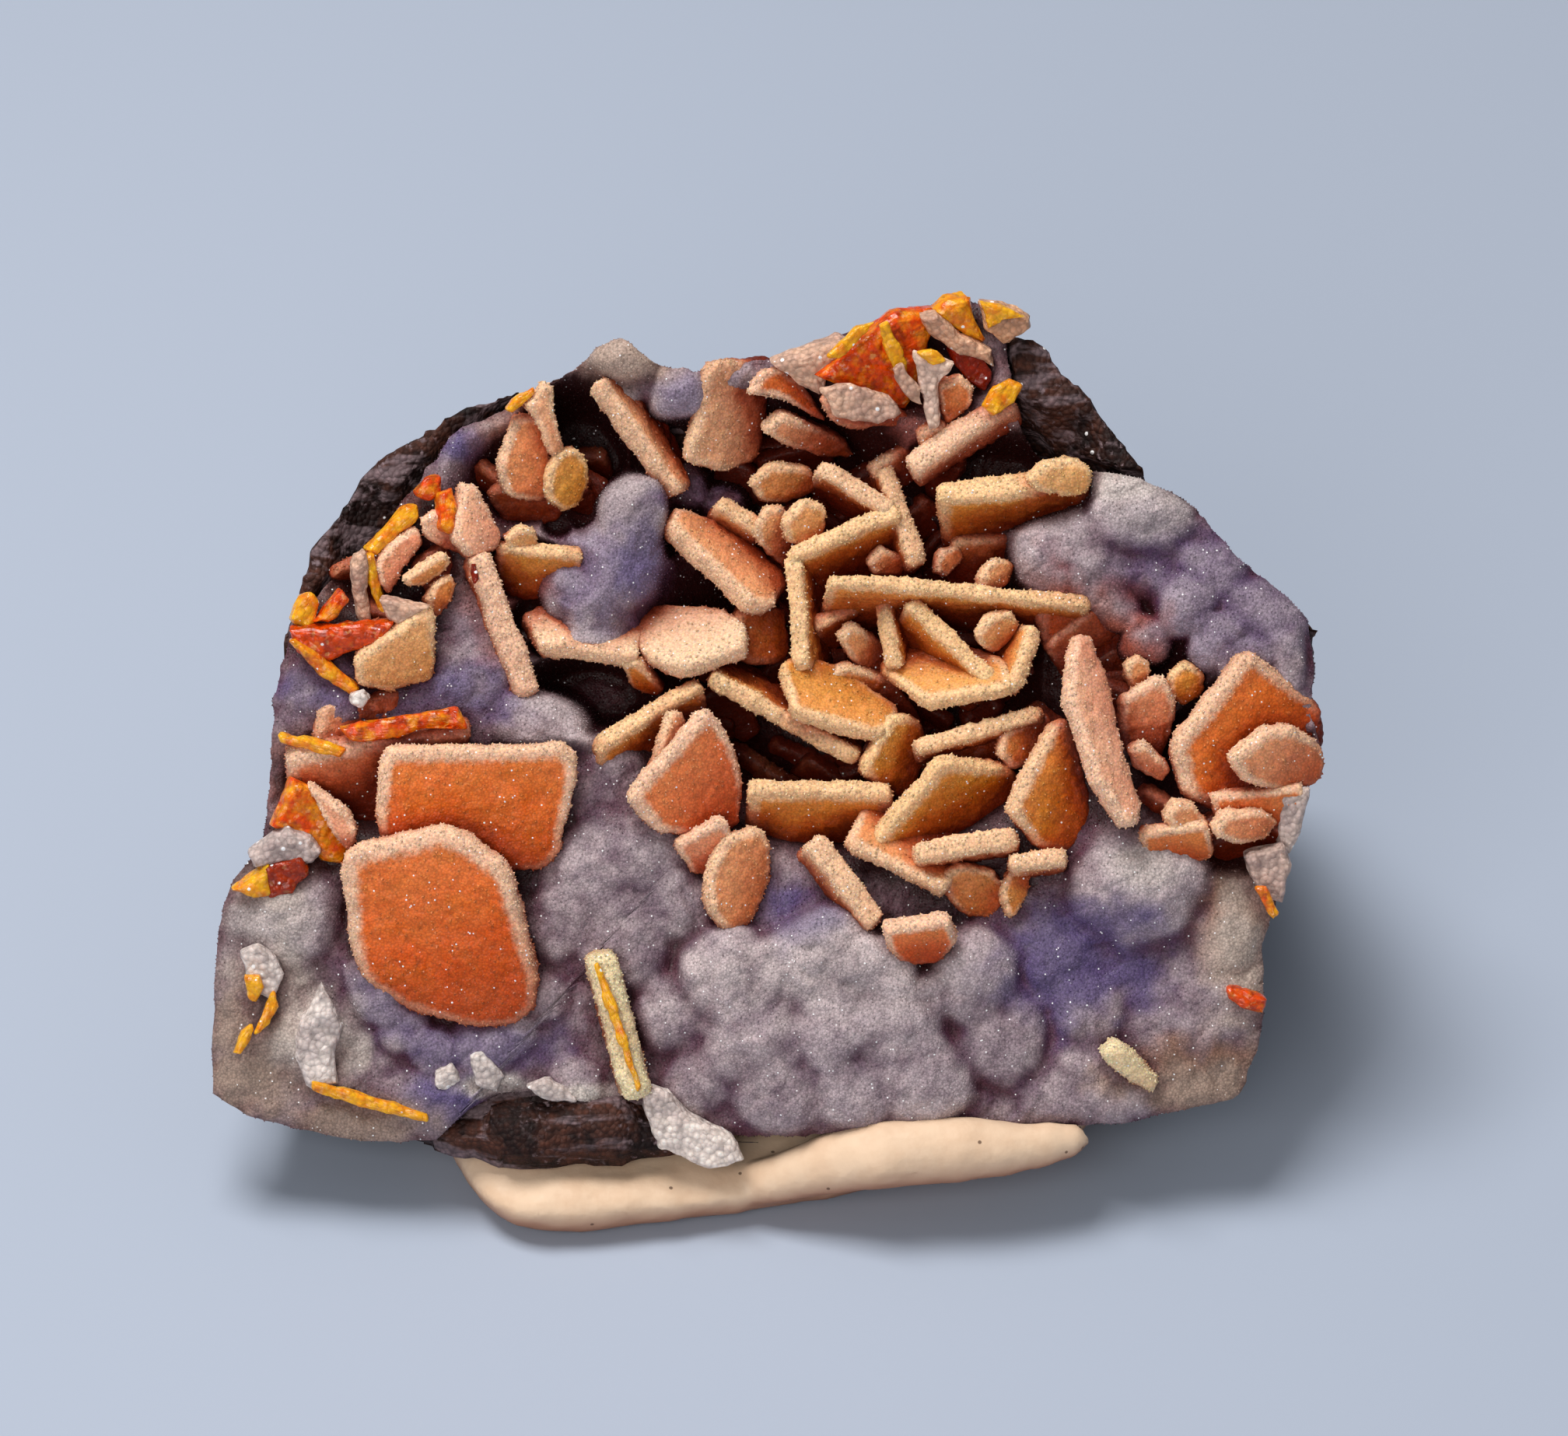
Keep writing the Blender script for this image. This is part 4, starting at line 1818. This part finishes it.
        points = np.concatenate([to_rows(x, y, depth), back[copied]])
        numbers = self.numbers(points)
        numbers["sugar"] = np.where(np.arange(len(points)) < len(back), 1.0 - numbers["bare"], 0.0)
        shell = Shell()
        shell.extend(FRONT.world(points), faces, grain=0.0, shut=cover.shut(points), **numbers)
        name = "chalcedony_crust_looks"
        piece = make_object(name, shell.mesh(name), material)
        sugared = piece.copy()
        sugared.data = piece.data.copy()
        sugared.name = "crust_quartz_points"
        bpy.context.scene.collection.objects.link(sugared)
        scatter.strew(sugared, self.grains, CRUST_GRAIN_SEED, keep_base=False)
        settle(piece, "drusy_chalcedony", "chalcedony_crust")
        settle(sugared, "drusy_chalcedony")

    def numbers(self, points: Array) -> dict[str, Array]:
        """What colours the crust at each place.

        Args:
            points: the places, as rows of x, y and depth in mm.

        Returns:
            The numbers by attribute name.
        """
        x, y, _ = points.T
        base, surface = self.base(x, y), self.surface(x, y)
        boss = np.clip((surface - base) / 2.2, 0.0, 1.0)
        around = [
            self.surface(x + 1.1 * math.cos(turn), y + 1.1 * math.sin(turn))
            for turn in np.arange(6) * math.pi / 3.0
        ]
        crest = surface - sum(around) / len(around)
        gap, _ = Chance.cellular(to_rows(x, y), self.pebble, 5)
        depth = -base - self.top_lean * np.maximum(y, 0.0)
        sunk = step_between(depth, 0.9, 4.6) * (1.0 - 0.75 * boss)
        return {
            "rise": 0.28 + 0.35 * boss + 0.9 * crest + 0.3 * (0.5 - gap), "sunk": sunk * 0.9,
            **self.tones(x, y),
        }


@dataclass
class PlateShell:
    """One plate as a rounded slab with a rough, sugary skin."""

    plate: Plate
    number: int
    edge_steps: int = 5
    corner_share: float = 0.27
    corner_points: int = 4
    broken_corner: float = 0.15
    face_sizes: tuple[float, float] = (0.19, 0.36)
    squareness: float = 3.2
    raggedness: float = 0.03
    swelling: float = 0.12
    bending: float = 0.12

    @property
    def bare(self) -> bool:
        """Whether the plate has no sugary coat."""
        return self.plate.look is not Look.COATED

    @property
    def step(self) -> float:
        """The size of the slab's faces in mm, smaller where they are coated."""
        return self.face_sizes[self.bare]

    def rows(self, half: float, edge: float) -> Array:
        """Where the grid's lines lie along one side, closer together round the edges.

        Args:
            half: half of the side's length.
            edge: the radius of the rounded edge.

        Returns:
            The places, from -1 to 1.
        """
        turns = np.arange(self.edge_steps + 1) / self.edge_steps * math.pi / 2.0
        outer = half - edge * (1.0 - np.cos(turns))
        count = max(int(round(outer[-1] * 2.0 / self.step)), 2)
        inner = np.linspace(-outer[-1], outer[-1], count + 1)[1:-1]
        return np.concatenate([-outer, inner, outer[::-1]]) / half

    def frame(self) -> tuple[Array, Array, float]:
        """Lays out the plate's own plane.

        Returns:
            The start of the near edge, the plate's three directions as rows, and the edge's length.
        """
        plate = self.plate
        near, away = plate.depth if isinstance(plate.depth, tuple) else (plate.depth,) * 2
        start = np.array([*FRONT.place(plate.a, near), near])
        end = np.array([*FRONT.place(plate.b, away), away])
        length = float(np.linalg.norm(end - start))
        along = (end - start) / length
        beside = np.array([along[1], -along[0], 0.0])
        beside /= np.linalg.norm(beside)
        lean = math.radians(plate.lean)
        inward = beside * math.cos(lean) - np.array([0.0, 0.0, math.sin(lean)])
        inward -= along * inward.dot(along)
        inward /= np.linalg.norm(inward)
        outward = np.cross(inward, along)
        return start, np.stack([along, inward, outward]), length

    def corners(self, start: Array, axes: Array, length: float) -> Array:
        """The outline's corners in the plate's own plane.

        Args:
            start: the start of the near edge.
            axes: the plate's directions as rows.
            length: the length of the near edge.

        Returns:
            Rows of along and inward, in mm.
        """
        places = [(0.0, 0.0), (length, 0.0)]
        if not self.plate.far:
            return np.array([*places, (length, self.plate.reach), (0.0, self.plate.reach)])
        for pixel in self.plate.far:
            x, y = FRONT.place(pixel)
            tilt = x * axes[2, 0] + y * axes[2, 1]
            depth = (start.dot(axes[2]) - tilt) / (axes[2, 2] - tilt / FRONT.view_distance)
            offset = np.array([*FRONT.place(pixel, depth), depth]) - start
            places.append((offset.dot(axes[0]), offset.dot(axes[1])))
        return np.array(places)

    def rounded(self, corners: Array) -> Array:
        """The outline with its corners rounded.

        Args:
            corners: the sharp corners, as rows.

        Returns:
            The rounded outline, as rows.
        """
        points = []
        most = self.broken_corner if self.bare else self.plate.corner
        neighbours = zip(np.roll(corners, 1, axis=0), corners, np.roll(corners, -1, axis=0))
        for before, corner, after in neighbours:
            sides = [side - corner for side in (before, after)]
            lengths = [float(np.linalg.norm(side)) for side in sides]
            cut = min(most, self.corner_share * min(lengths))
            ends = [corner + side / long * cut for side, long in zip(sides, lengths)]
            for share in np.linspace(0.0, 1.0, self.corner_points):
                rest = 1.0 - share
                points.append(
                    ends[0] * rest**2 + corner * 2.0 * share * rest + ends[1] * share**2
                )
        return np.array(points)

    @staticmethod
    def distance(outline: Array, places: Array) -> Array:
        """How far each place is from an outline.

        Args:
            outline: its corners, as rows.
            places: the places, as rows.

        Returns:
            The distances.
        """
        nearest = np.full(len(places), np.inf)
        for start, end in zip(outline, np.roll(outline, -1, axis=0)):
            side = end - start
            share = ((places - start) @ side / max(side.dot(side), 1e-12)).clip(0.0, 1.0)
            gap = np.linalg.norm(places - start - share[:, None] * side, axis=1)
            nearest = np.minimum(nearest, gap)
        return nearest

    def shape(self) -> None:
        """Works out the slab's corners, on the front, and its faces."""
        start, axes, length = self.frame()
        outline = self.rounded(self.corners(start, axes, length))
        low, high = outline.min(axis=0), outline.max(axis=0)
        middle = (low + high) / 2.0
        half = (high - low) / 2.0
        edge = min(self.plate.thick / 2.0, *(half * 0.8))
        columns, lines = self.rows(half[0], edge), self.rows(half[1], edge)
        s, t = (side.ravel() for side in np.meshgrid(columns, lines, indexing="ij"))
        angle = np.arctan2(t * half[1], s * half[0])
        share = np.maximum(np.abs(s), np.abs(t))
        seed = 100 + self.number * 10
        ring = to_rows(np.cos(angle) * 3.0, np.sin(angle) * 3.0, seed)
        ragged = 1.0 + self.raggedness * Chance.rough(ring, 1.6, seed + 1)
        reach = reach_of(outline - middle, angle) * share
        flat = middle + np.stack([reach * np.cos(angle), reach * np.sin(angle)], axis=1)
        inset = np.where(share > 0.999, 0.0, self.distance(outline, flat))
        flat = middle + (flat - middle) * ragged[:, None]
        curve = 1.0 - (1.0 - np.minimum(inset / edge, 1.0)) ** self.squareness
        rise = np.clip(curve, 0.0, 1.0) ** (1.0 / self.squareness)
        local = np.column_stack([flat, np.full(len(flat), self.number * 31.0)])
        swell = 1.0 + self.swelling * Chance.smooth(local, 2.5, seed)
        thick = self.plate.thick / 2.0 * rise * swell
        bend = self.bending * Chance.smooth(local, 4.0, seed + 2)
        self.faces, copied = two_sided(len(columns) - 1, len(lines) - 1)
        front = np.column_stack([flat, thick + bend])
        back = np.column_stack([flat, -thick + bend])
        points = np.concatenate([front, back[copied]])
        inset = np.concatenate([inset, inset[copied]])
        self.foot = ((points[:, 1] - low[1]) / (high[1] - low[1])).clip(0.0, 1.0)
        border = (0.22 + 0.15 * min(half)) * (1.35 - 0.7 * self.foot)
        self.rim = 1.0 - step_between(inset / border, 0.2, 1.4)
        self.placed = start + points @ axes

    def add_to(self, shell: Shell, crust: Crust, cover: Cover) -> None:
        """Adds the slab to a shell.

        Args:
            shell: what the group's mesh is built in.
            crust: the crust, to tell which part of the slab is buried.
            cover: everything on the front, to tell which part is shut in.
        """
        plate, placed = self.plate, self.placed
        ground = crust.surface(placed[:, 0], placed[:, 1])
        buried = placed[:, 2] < ground - 0.2
        contact = 1.0 - step_between(placed[:, 2] - ground, -0.1, 1.6)
        shut = cover.shut(placed)
        sugar = np.where(buried, 0.0, 0.4 + 0.6 * self.rim) * (not self.bare)
        sugar = sugar * (1.0 - step_between(shut, 0.3, 0.8))
        shell.extend(
            FRONT.world(placed), self.faces, rim=self.rim, foot=self.foot, gold=plate.gold,
            pale=plate.pale, deep=step_between(-placed[:, 2], 0.6, 6.0), contact=contact,
            shut=shut, sugar=sugar, grain=0.0,
        )


@dataclass
class CrystalGroup:
    """The plates of one CAD node, as one piece for each look that they have."""

    node: str
    plates: list[PlateShell]
    seed: int
    grains: Grains = Grains(0.18, 15.0e6, 0.12, 0.27)

    @staticmethod
    def sugary(places: Array) -> Array:
        """The relief of a sugary skin in mm, for places in mm."""
        gap, own = Chance.cellular(places, 0.42, 60)
        return (0.5 - gap) * 0.2 * (0.4 + own) + Chance.smooth(places, 0.9, 61) * 0.08

    @staticmethod
    def broken(places: Array) -> Array:
        """The relief of a broken face in mm, for places in mm."""
        gap, own = Chance.cellular(places, 0.8, 62)
        return (0.5 - gap) * 0.2 * own + Chance.rough(places, 0.7, 63) * 0.1

    def build(
        self, finishes: dict[Look, bpy.types.Material], crust: Crust, cover: Cover,
        scatter: GrainScatter,
    ) -> None:
        """Builds the group's pieces.

        Args:
            finishes: the material for each look.
            crust: the crust that the plates stand on.
            cover: everything on the front.
            scatter: what strews the quartz points.
        """
        nodes = (self.node,)
        for look in Look:
            shell = Shell()
            for slab in self.plates:
                if slab.plate.look is look:
                    slab.add_to(shell, crust, cover)
            if not shell.count:
                continue
            name = f"{self.node}_{look.name.lower()}"
            mesh = shell.mesh(name, smooth=look is Look.COATED)
            displace(mesh, self.sugary if look is Look.COATED else self.broken)
            piece = make_object(name, mesh, finishes[look])
            if look is Look.COATED:
                scatter.strew(piece, self.grains, self.seed, keep_base=True)
            settle(piece, "wulfenite", *nodes)
            nodes = ()


@dataclass
class HostRock:
    """The dark matrix behind the crust, roughened from its CAD solid."""

    voxel: float = 0.5
    lift: float = 0.05
    brow: Pixel = (690.0, 1452.0)
    brow_half: tuple[float, float, float] = (8.5, 5.0, 3.2)
    brow_drop: float = 1.5

    def relief(self, places: Array) -> Array:
        """The broken relief of the rock, with a low brow over the putty.

        Args:
            places: the places, in mm.

        Returns:
            The relief in mm.
        """
        gap, own = Chance.cellular(places, 5.0, 70)
        chips, _ = Chance.cellular(places, 1.8, 71)
        rough = Chance.rough(places, 1.6, 72, 4) * 0.25
        middle = FRONT.world(np.array([(*FRONT.place(self.brow), 0.0)])) / MM
        away = np.sum(((places - middle) / np.array(self.brow_half)) ** 2, axis=1)
        brow = self.brow_drop * np.exp(-(away**2))
        return rough + brow + self.lift - 0.35 * own * gap - 0.25 * chips

    def build(self, material: bpy.types.Material) -> None:
        """Builds the rock.

        Args:
            material: its finish.
        """
        mesh = frame["nodes"]["host_rock"].data.copy()
        bm = bmesh.new()
        bm.from_mesh(mesh)
        bmesh.ops.remove_doubles(bm, verts=bm.verts[:], dist=0.01 * MM)
        bm.to_mesh(mesh)
        bm.free()
        piece = make_object("host_rock_looks", mesh, material)
        remesh_piece(piece, self.voxel)
        displace(piece.data, self.relief)
        settle(piece, "host_rock", "host_rock")


@dataclass
class PuttyCake:
    """The cake of mounting putty, squeezed up in a lip at the front."""

    half_length: float = 18.4
    half_width: float = 16.6
    squareness: float = 0.36
    sag: float = 1.1
    turn: float = math.radians(13.0)
    height: float = 4.0
    across: int = 100
    up: int = 80
    voxel: float = 0.32
    lip_steps: int = 40
    lip_sides: int = 20
    lip_knots: tuple[tuple[float, float, float, float], ...] = (
        (930, 1530, -2.6, 0.9), (985, 1518, -1.4, 1.2), (1058, 1496, -0.4, 1.5),
        (1130, 1484, 0.4, 1.7), (1240, 1478, 0.6, 1.6), (1320, 1476, 0.4, 1.2),
        (1385, 1466, 0.2, 0.8),
    )

    def build(self, material: bpy.types.Material) -> None:
        """Builds the putty cake.

        Args:
            material: its finish.
        """
        lines = (
            np.sin(np.linspace(-1.0, 1.0, count + 1) * math.pi / 2.0)
            for count in (self.across, self.up)
        )
        s, t = (side.ravel() for side in np.meshgrid(*lines, indexing="ij"))
        angle = np.arctan2(t, s)
        share = np.maximum(np.abs(s), np.abs(t))
        along, cross = (
            half * np.sign(side) * np.abs(side) ** self.squareness
            for half, side in ((self.half_length, np.cos(angle)), (self.half_width, np.sin(angle)))
        )
        edge = np.minimum((1.0 - share) * self.half_width, 2.0) / 2.0
        rise = np.sqrt(np.clip(1.0 - (1.0 - edge) ** 2, 0.0, 1.0))
        flat = to_rows(along * share, cross * share)
        lump = Chance.smooth(flat, 6.0, 80) * 0.25 + Chance.smooth(flat, 2.2, 81) * 0.1
        half = self.height / 2.0
        front = step_between(-flat[:, 1], 0.55 * self.half_width, 0.85 * self.half_width)
        lump = lump - self.sag * front * step_between(flat[:, 0], 6.0, -1.0)
        top = half + half * rise + lump * rise
        bottom = half - half * rise
        out = 1.0 - 0.012 * (1.0 + Chance.smooth(flat, 5.0, 82))
        x = flat[:, 0] * out
        y = flat[:, 1] * out
        cos, sin = math.cos(self.turn), math.sin(self.turn)
        plan = np.stack([x * cos - y * sin, x * sin + y * cos], axis=1)
        faces, copied = two_sided(self.across, self.up)
        points = np.concatenate([
            np.column_stack([plan, top]), np.column_stack([plan[copied], bottom[copied]])
        ])
        shell = Shell()
        shell.extend(points * MM, faces)
        self.add_lip(shell)
        piece = make_object("putty_cake", shell.mesh("putty_cake"), material)
        remesh_piece(piece, self.voxel)
        displace(piece.data, lambda places: Chance.rough(places, 2.4, 84) * 0.12)
        normals = np.empty(len(piece.data.vertices) * 3)
        piece.data.vertex_normals.foreach_get("vector", normals)
        under = piece.data.attributes.new("under", "FLOAT", "POINT")
        under.data.foreach_set("value", step_between(-normals[2::3], -0.45, 0.6).astype(np.float32))
        settle(piece, "putty", "mounting_putty")

    def add_lip(self, shell: Shell) -> None:
        """Adds the roll of putty squeezed up in front of the crust.

        Args:
            shell: the shell that the putty is built in.
        """
        spine = np.array([
            (*FRONT.place((x, y), depth), depth) for x, y, depth, _ in self.lip_knots
        ])
        radii = np.array(self.lip_knots)[:, 3]
        steps = np.linspace(0.0, len(spine) - 1.0, self.lip_steps + 1)
        knots = np.arange(len(spine))
        middle = np.column_stack([np.interp(steps, knots, column) for column in spine.T])
        radius = np.interp(steps, knots, radii)
        turns = np.arange(self.lip_sides) / self.lip_sides * math.tau
        ring = to_rows(0.0, np.cos(turns) * 1.1, np.sin(turns))
        rings = [place + size * ring for place, size in zip(middle, radius)]
        ends = [middle[0] - (radius[0], 0.0, 0.0), middle[-1] + (radius[-1], 0.0, 0.0)]
        points = np.concatenate([*rings, ends])
        sides, last = self.lip_sides, self.lip_steps * self.lip_sides
        faces = [
            (row + i, row + (i + 1) % sides, row + sides + (i + 1) % sides, row + sides + i)
            for row in range(0, last, sides)
            for i in range(sides)
        ]
        faces += [((i + 1) % sides, i, last + sides) for i in range(sides)]
        faces += [(last + i, last + (i + 1) % sides, last + sides + 1) for i in range(sides)]
        shell.extend(FRONT.world(points), faces)


@dataclass
class Studio:
    """The pale floor, the soft light and the camera."""

    floor_size: float = 3.0
    sensor: float = 36.0

    def build(self, effects: Effects) -> None:
        """Builds the studio.

        Args:
            effects: the shared groups.
        """
        mesh = bpy.data.meshes.new("floor")
        half = self.floor_size / 2.0
        mesh.from_pydata(
            [(-half, -half, 0.0), (half, -half, 0.0), (half, half, 0.0), (-half, half, 0.0)],
            [], [(0, 1, 2, 3)],
        )
        make_object("floor", mesh, FloorFinish().build(effects))
        self.light("key", (-0.12, 0.06, 0.44), 0.22, 1.95, (1.0, 0.98, 0.96))
        self.light("fill", (-0.12, -0.42, 0.28), 0.30, 1.1, (1.0, 0.97, 0.94))
        world = bpy.data.worlds.new("studio")
        world.use_nodes = True
        shade = world.node_tree.nodes["Background"]
        shade.inputs["Color"].default_value = (0.92, 0.95, 1.0, 1.0)
        shade.inputs["Strength"].default_value = 0.2
        bpy.context.scene.world = world
        bpy.context.scene.view_settings.view_transform = "Standard"
        self.camera()

    @staticmethod
    def light(name: str, place: tuple, size: float, power: float, colour: tuple) -> None:
        """Adds a soft square light that points at the specimen.

        Args:
            name: its name.
            place: where it stands, in metres.
            size: the length of its side, in metres.
            power: its power in watts.
            colour: its colour.
        """
        lamp = bpy.data.lights.new(name, "AREA")
        lamp.size = size
        lamp.energy = power
        lamp.color = colour
        holder = bpy.data.objects.new(name, lamp)
        holder.location = place
        aim = Vector((0.0, 0.0, 0.02)) - Vector(place)
        holder.rotation_euler = aim.to_track_quat("-Z", "Y").to_euler()
        bpy.context.scene.collection.objects.link(holder)

    def camera(self) -> None:
        """Adds the camera that the photograph was taken with."""
        lens = bpy.data.cameras.new("camera")
        lens.sensor_width = self.sensor
        lens.lens = self.sensor * FRONT.view_distance / (FRONT.picture_size[0] * FRONT.pixel)
        lens.clip_start = 0.01
        lens.clip_end = 10.0
        camera = bpy.data.objects.new("camera", lens)
        place = FRONT.world(np.array([[0.0, 0.0, FRONT.view_distance]]))[0]
        target = FRONT.world(np.array([[0.0, 0.0, 0.0]]))[0]
        camera.location = place.tolist()
        aim = Vector((target - place).tolist())
        camera.rotation_euler = aim.to_track_quat("-Z", "Y").to_euler()
        bpy.context.scene.collection.objects.link(camera)
        bpy.context.scene.camera = camera


def main() -> None:
    """Builds the studio and every piece of the specimen."""
    logging.basicConfig(level=logging.INFO, format="%(message)s")
    effects = Effects()
    Studio().build(effects)
    scatter = GrainScatter()
    finishes = {
        Look.COATED: SugarCoat().build(effects),
        Look.GLASSY: GlassyCrystal().build(effects),
        Look.QUARTZ: MilkyQuartz().build(effects),
    }
    crust = Crust()
    cover = Cover(crust.surface)
    chance = random.Random(DRAW_SEED)
    plates = [(node, plate) for node, *rows in PLATES for plate in rows]
    for thicket in THICKETS:
        plates += [(thicket.node, plate) for plate in thicket.plates(chance, crust.surface)]
    groups: dict[str, list[PlateShell]] = {}
    for number, (node, plate) in enumerate(plates):
        slab = PlateShell(plate, number)
        slab.shape()
        cover.add(slab.placed)
        groups.setdefault(node, []).append(slab)
    crust.build(DrusyChalcedony().build(effects), cover, scatter)
    HostRock().build(HostRockFinish().build(effects))
    PuttyCake().build(PuttyFinish().build(effects))
    for seed, (node, slabs) in enumerate(groups.items(), start=FIRST_GRAIN_SEED):
        CrystalGroup(node, slabs, seed).build(finishes, crust, cover, scatter)
    total = sum(len(piece.data.polygons) for piece in bpy.data.objects if piece.type == "MESH")
    LOG.info("faces in all: %d", total)


if __name__ == "__main__":
    main()
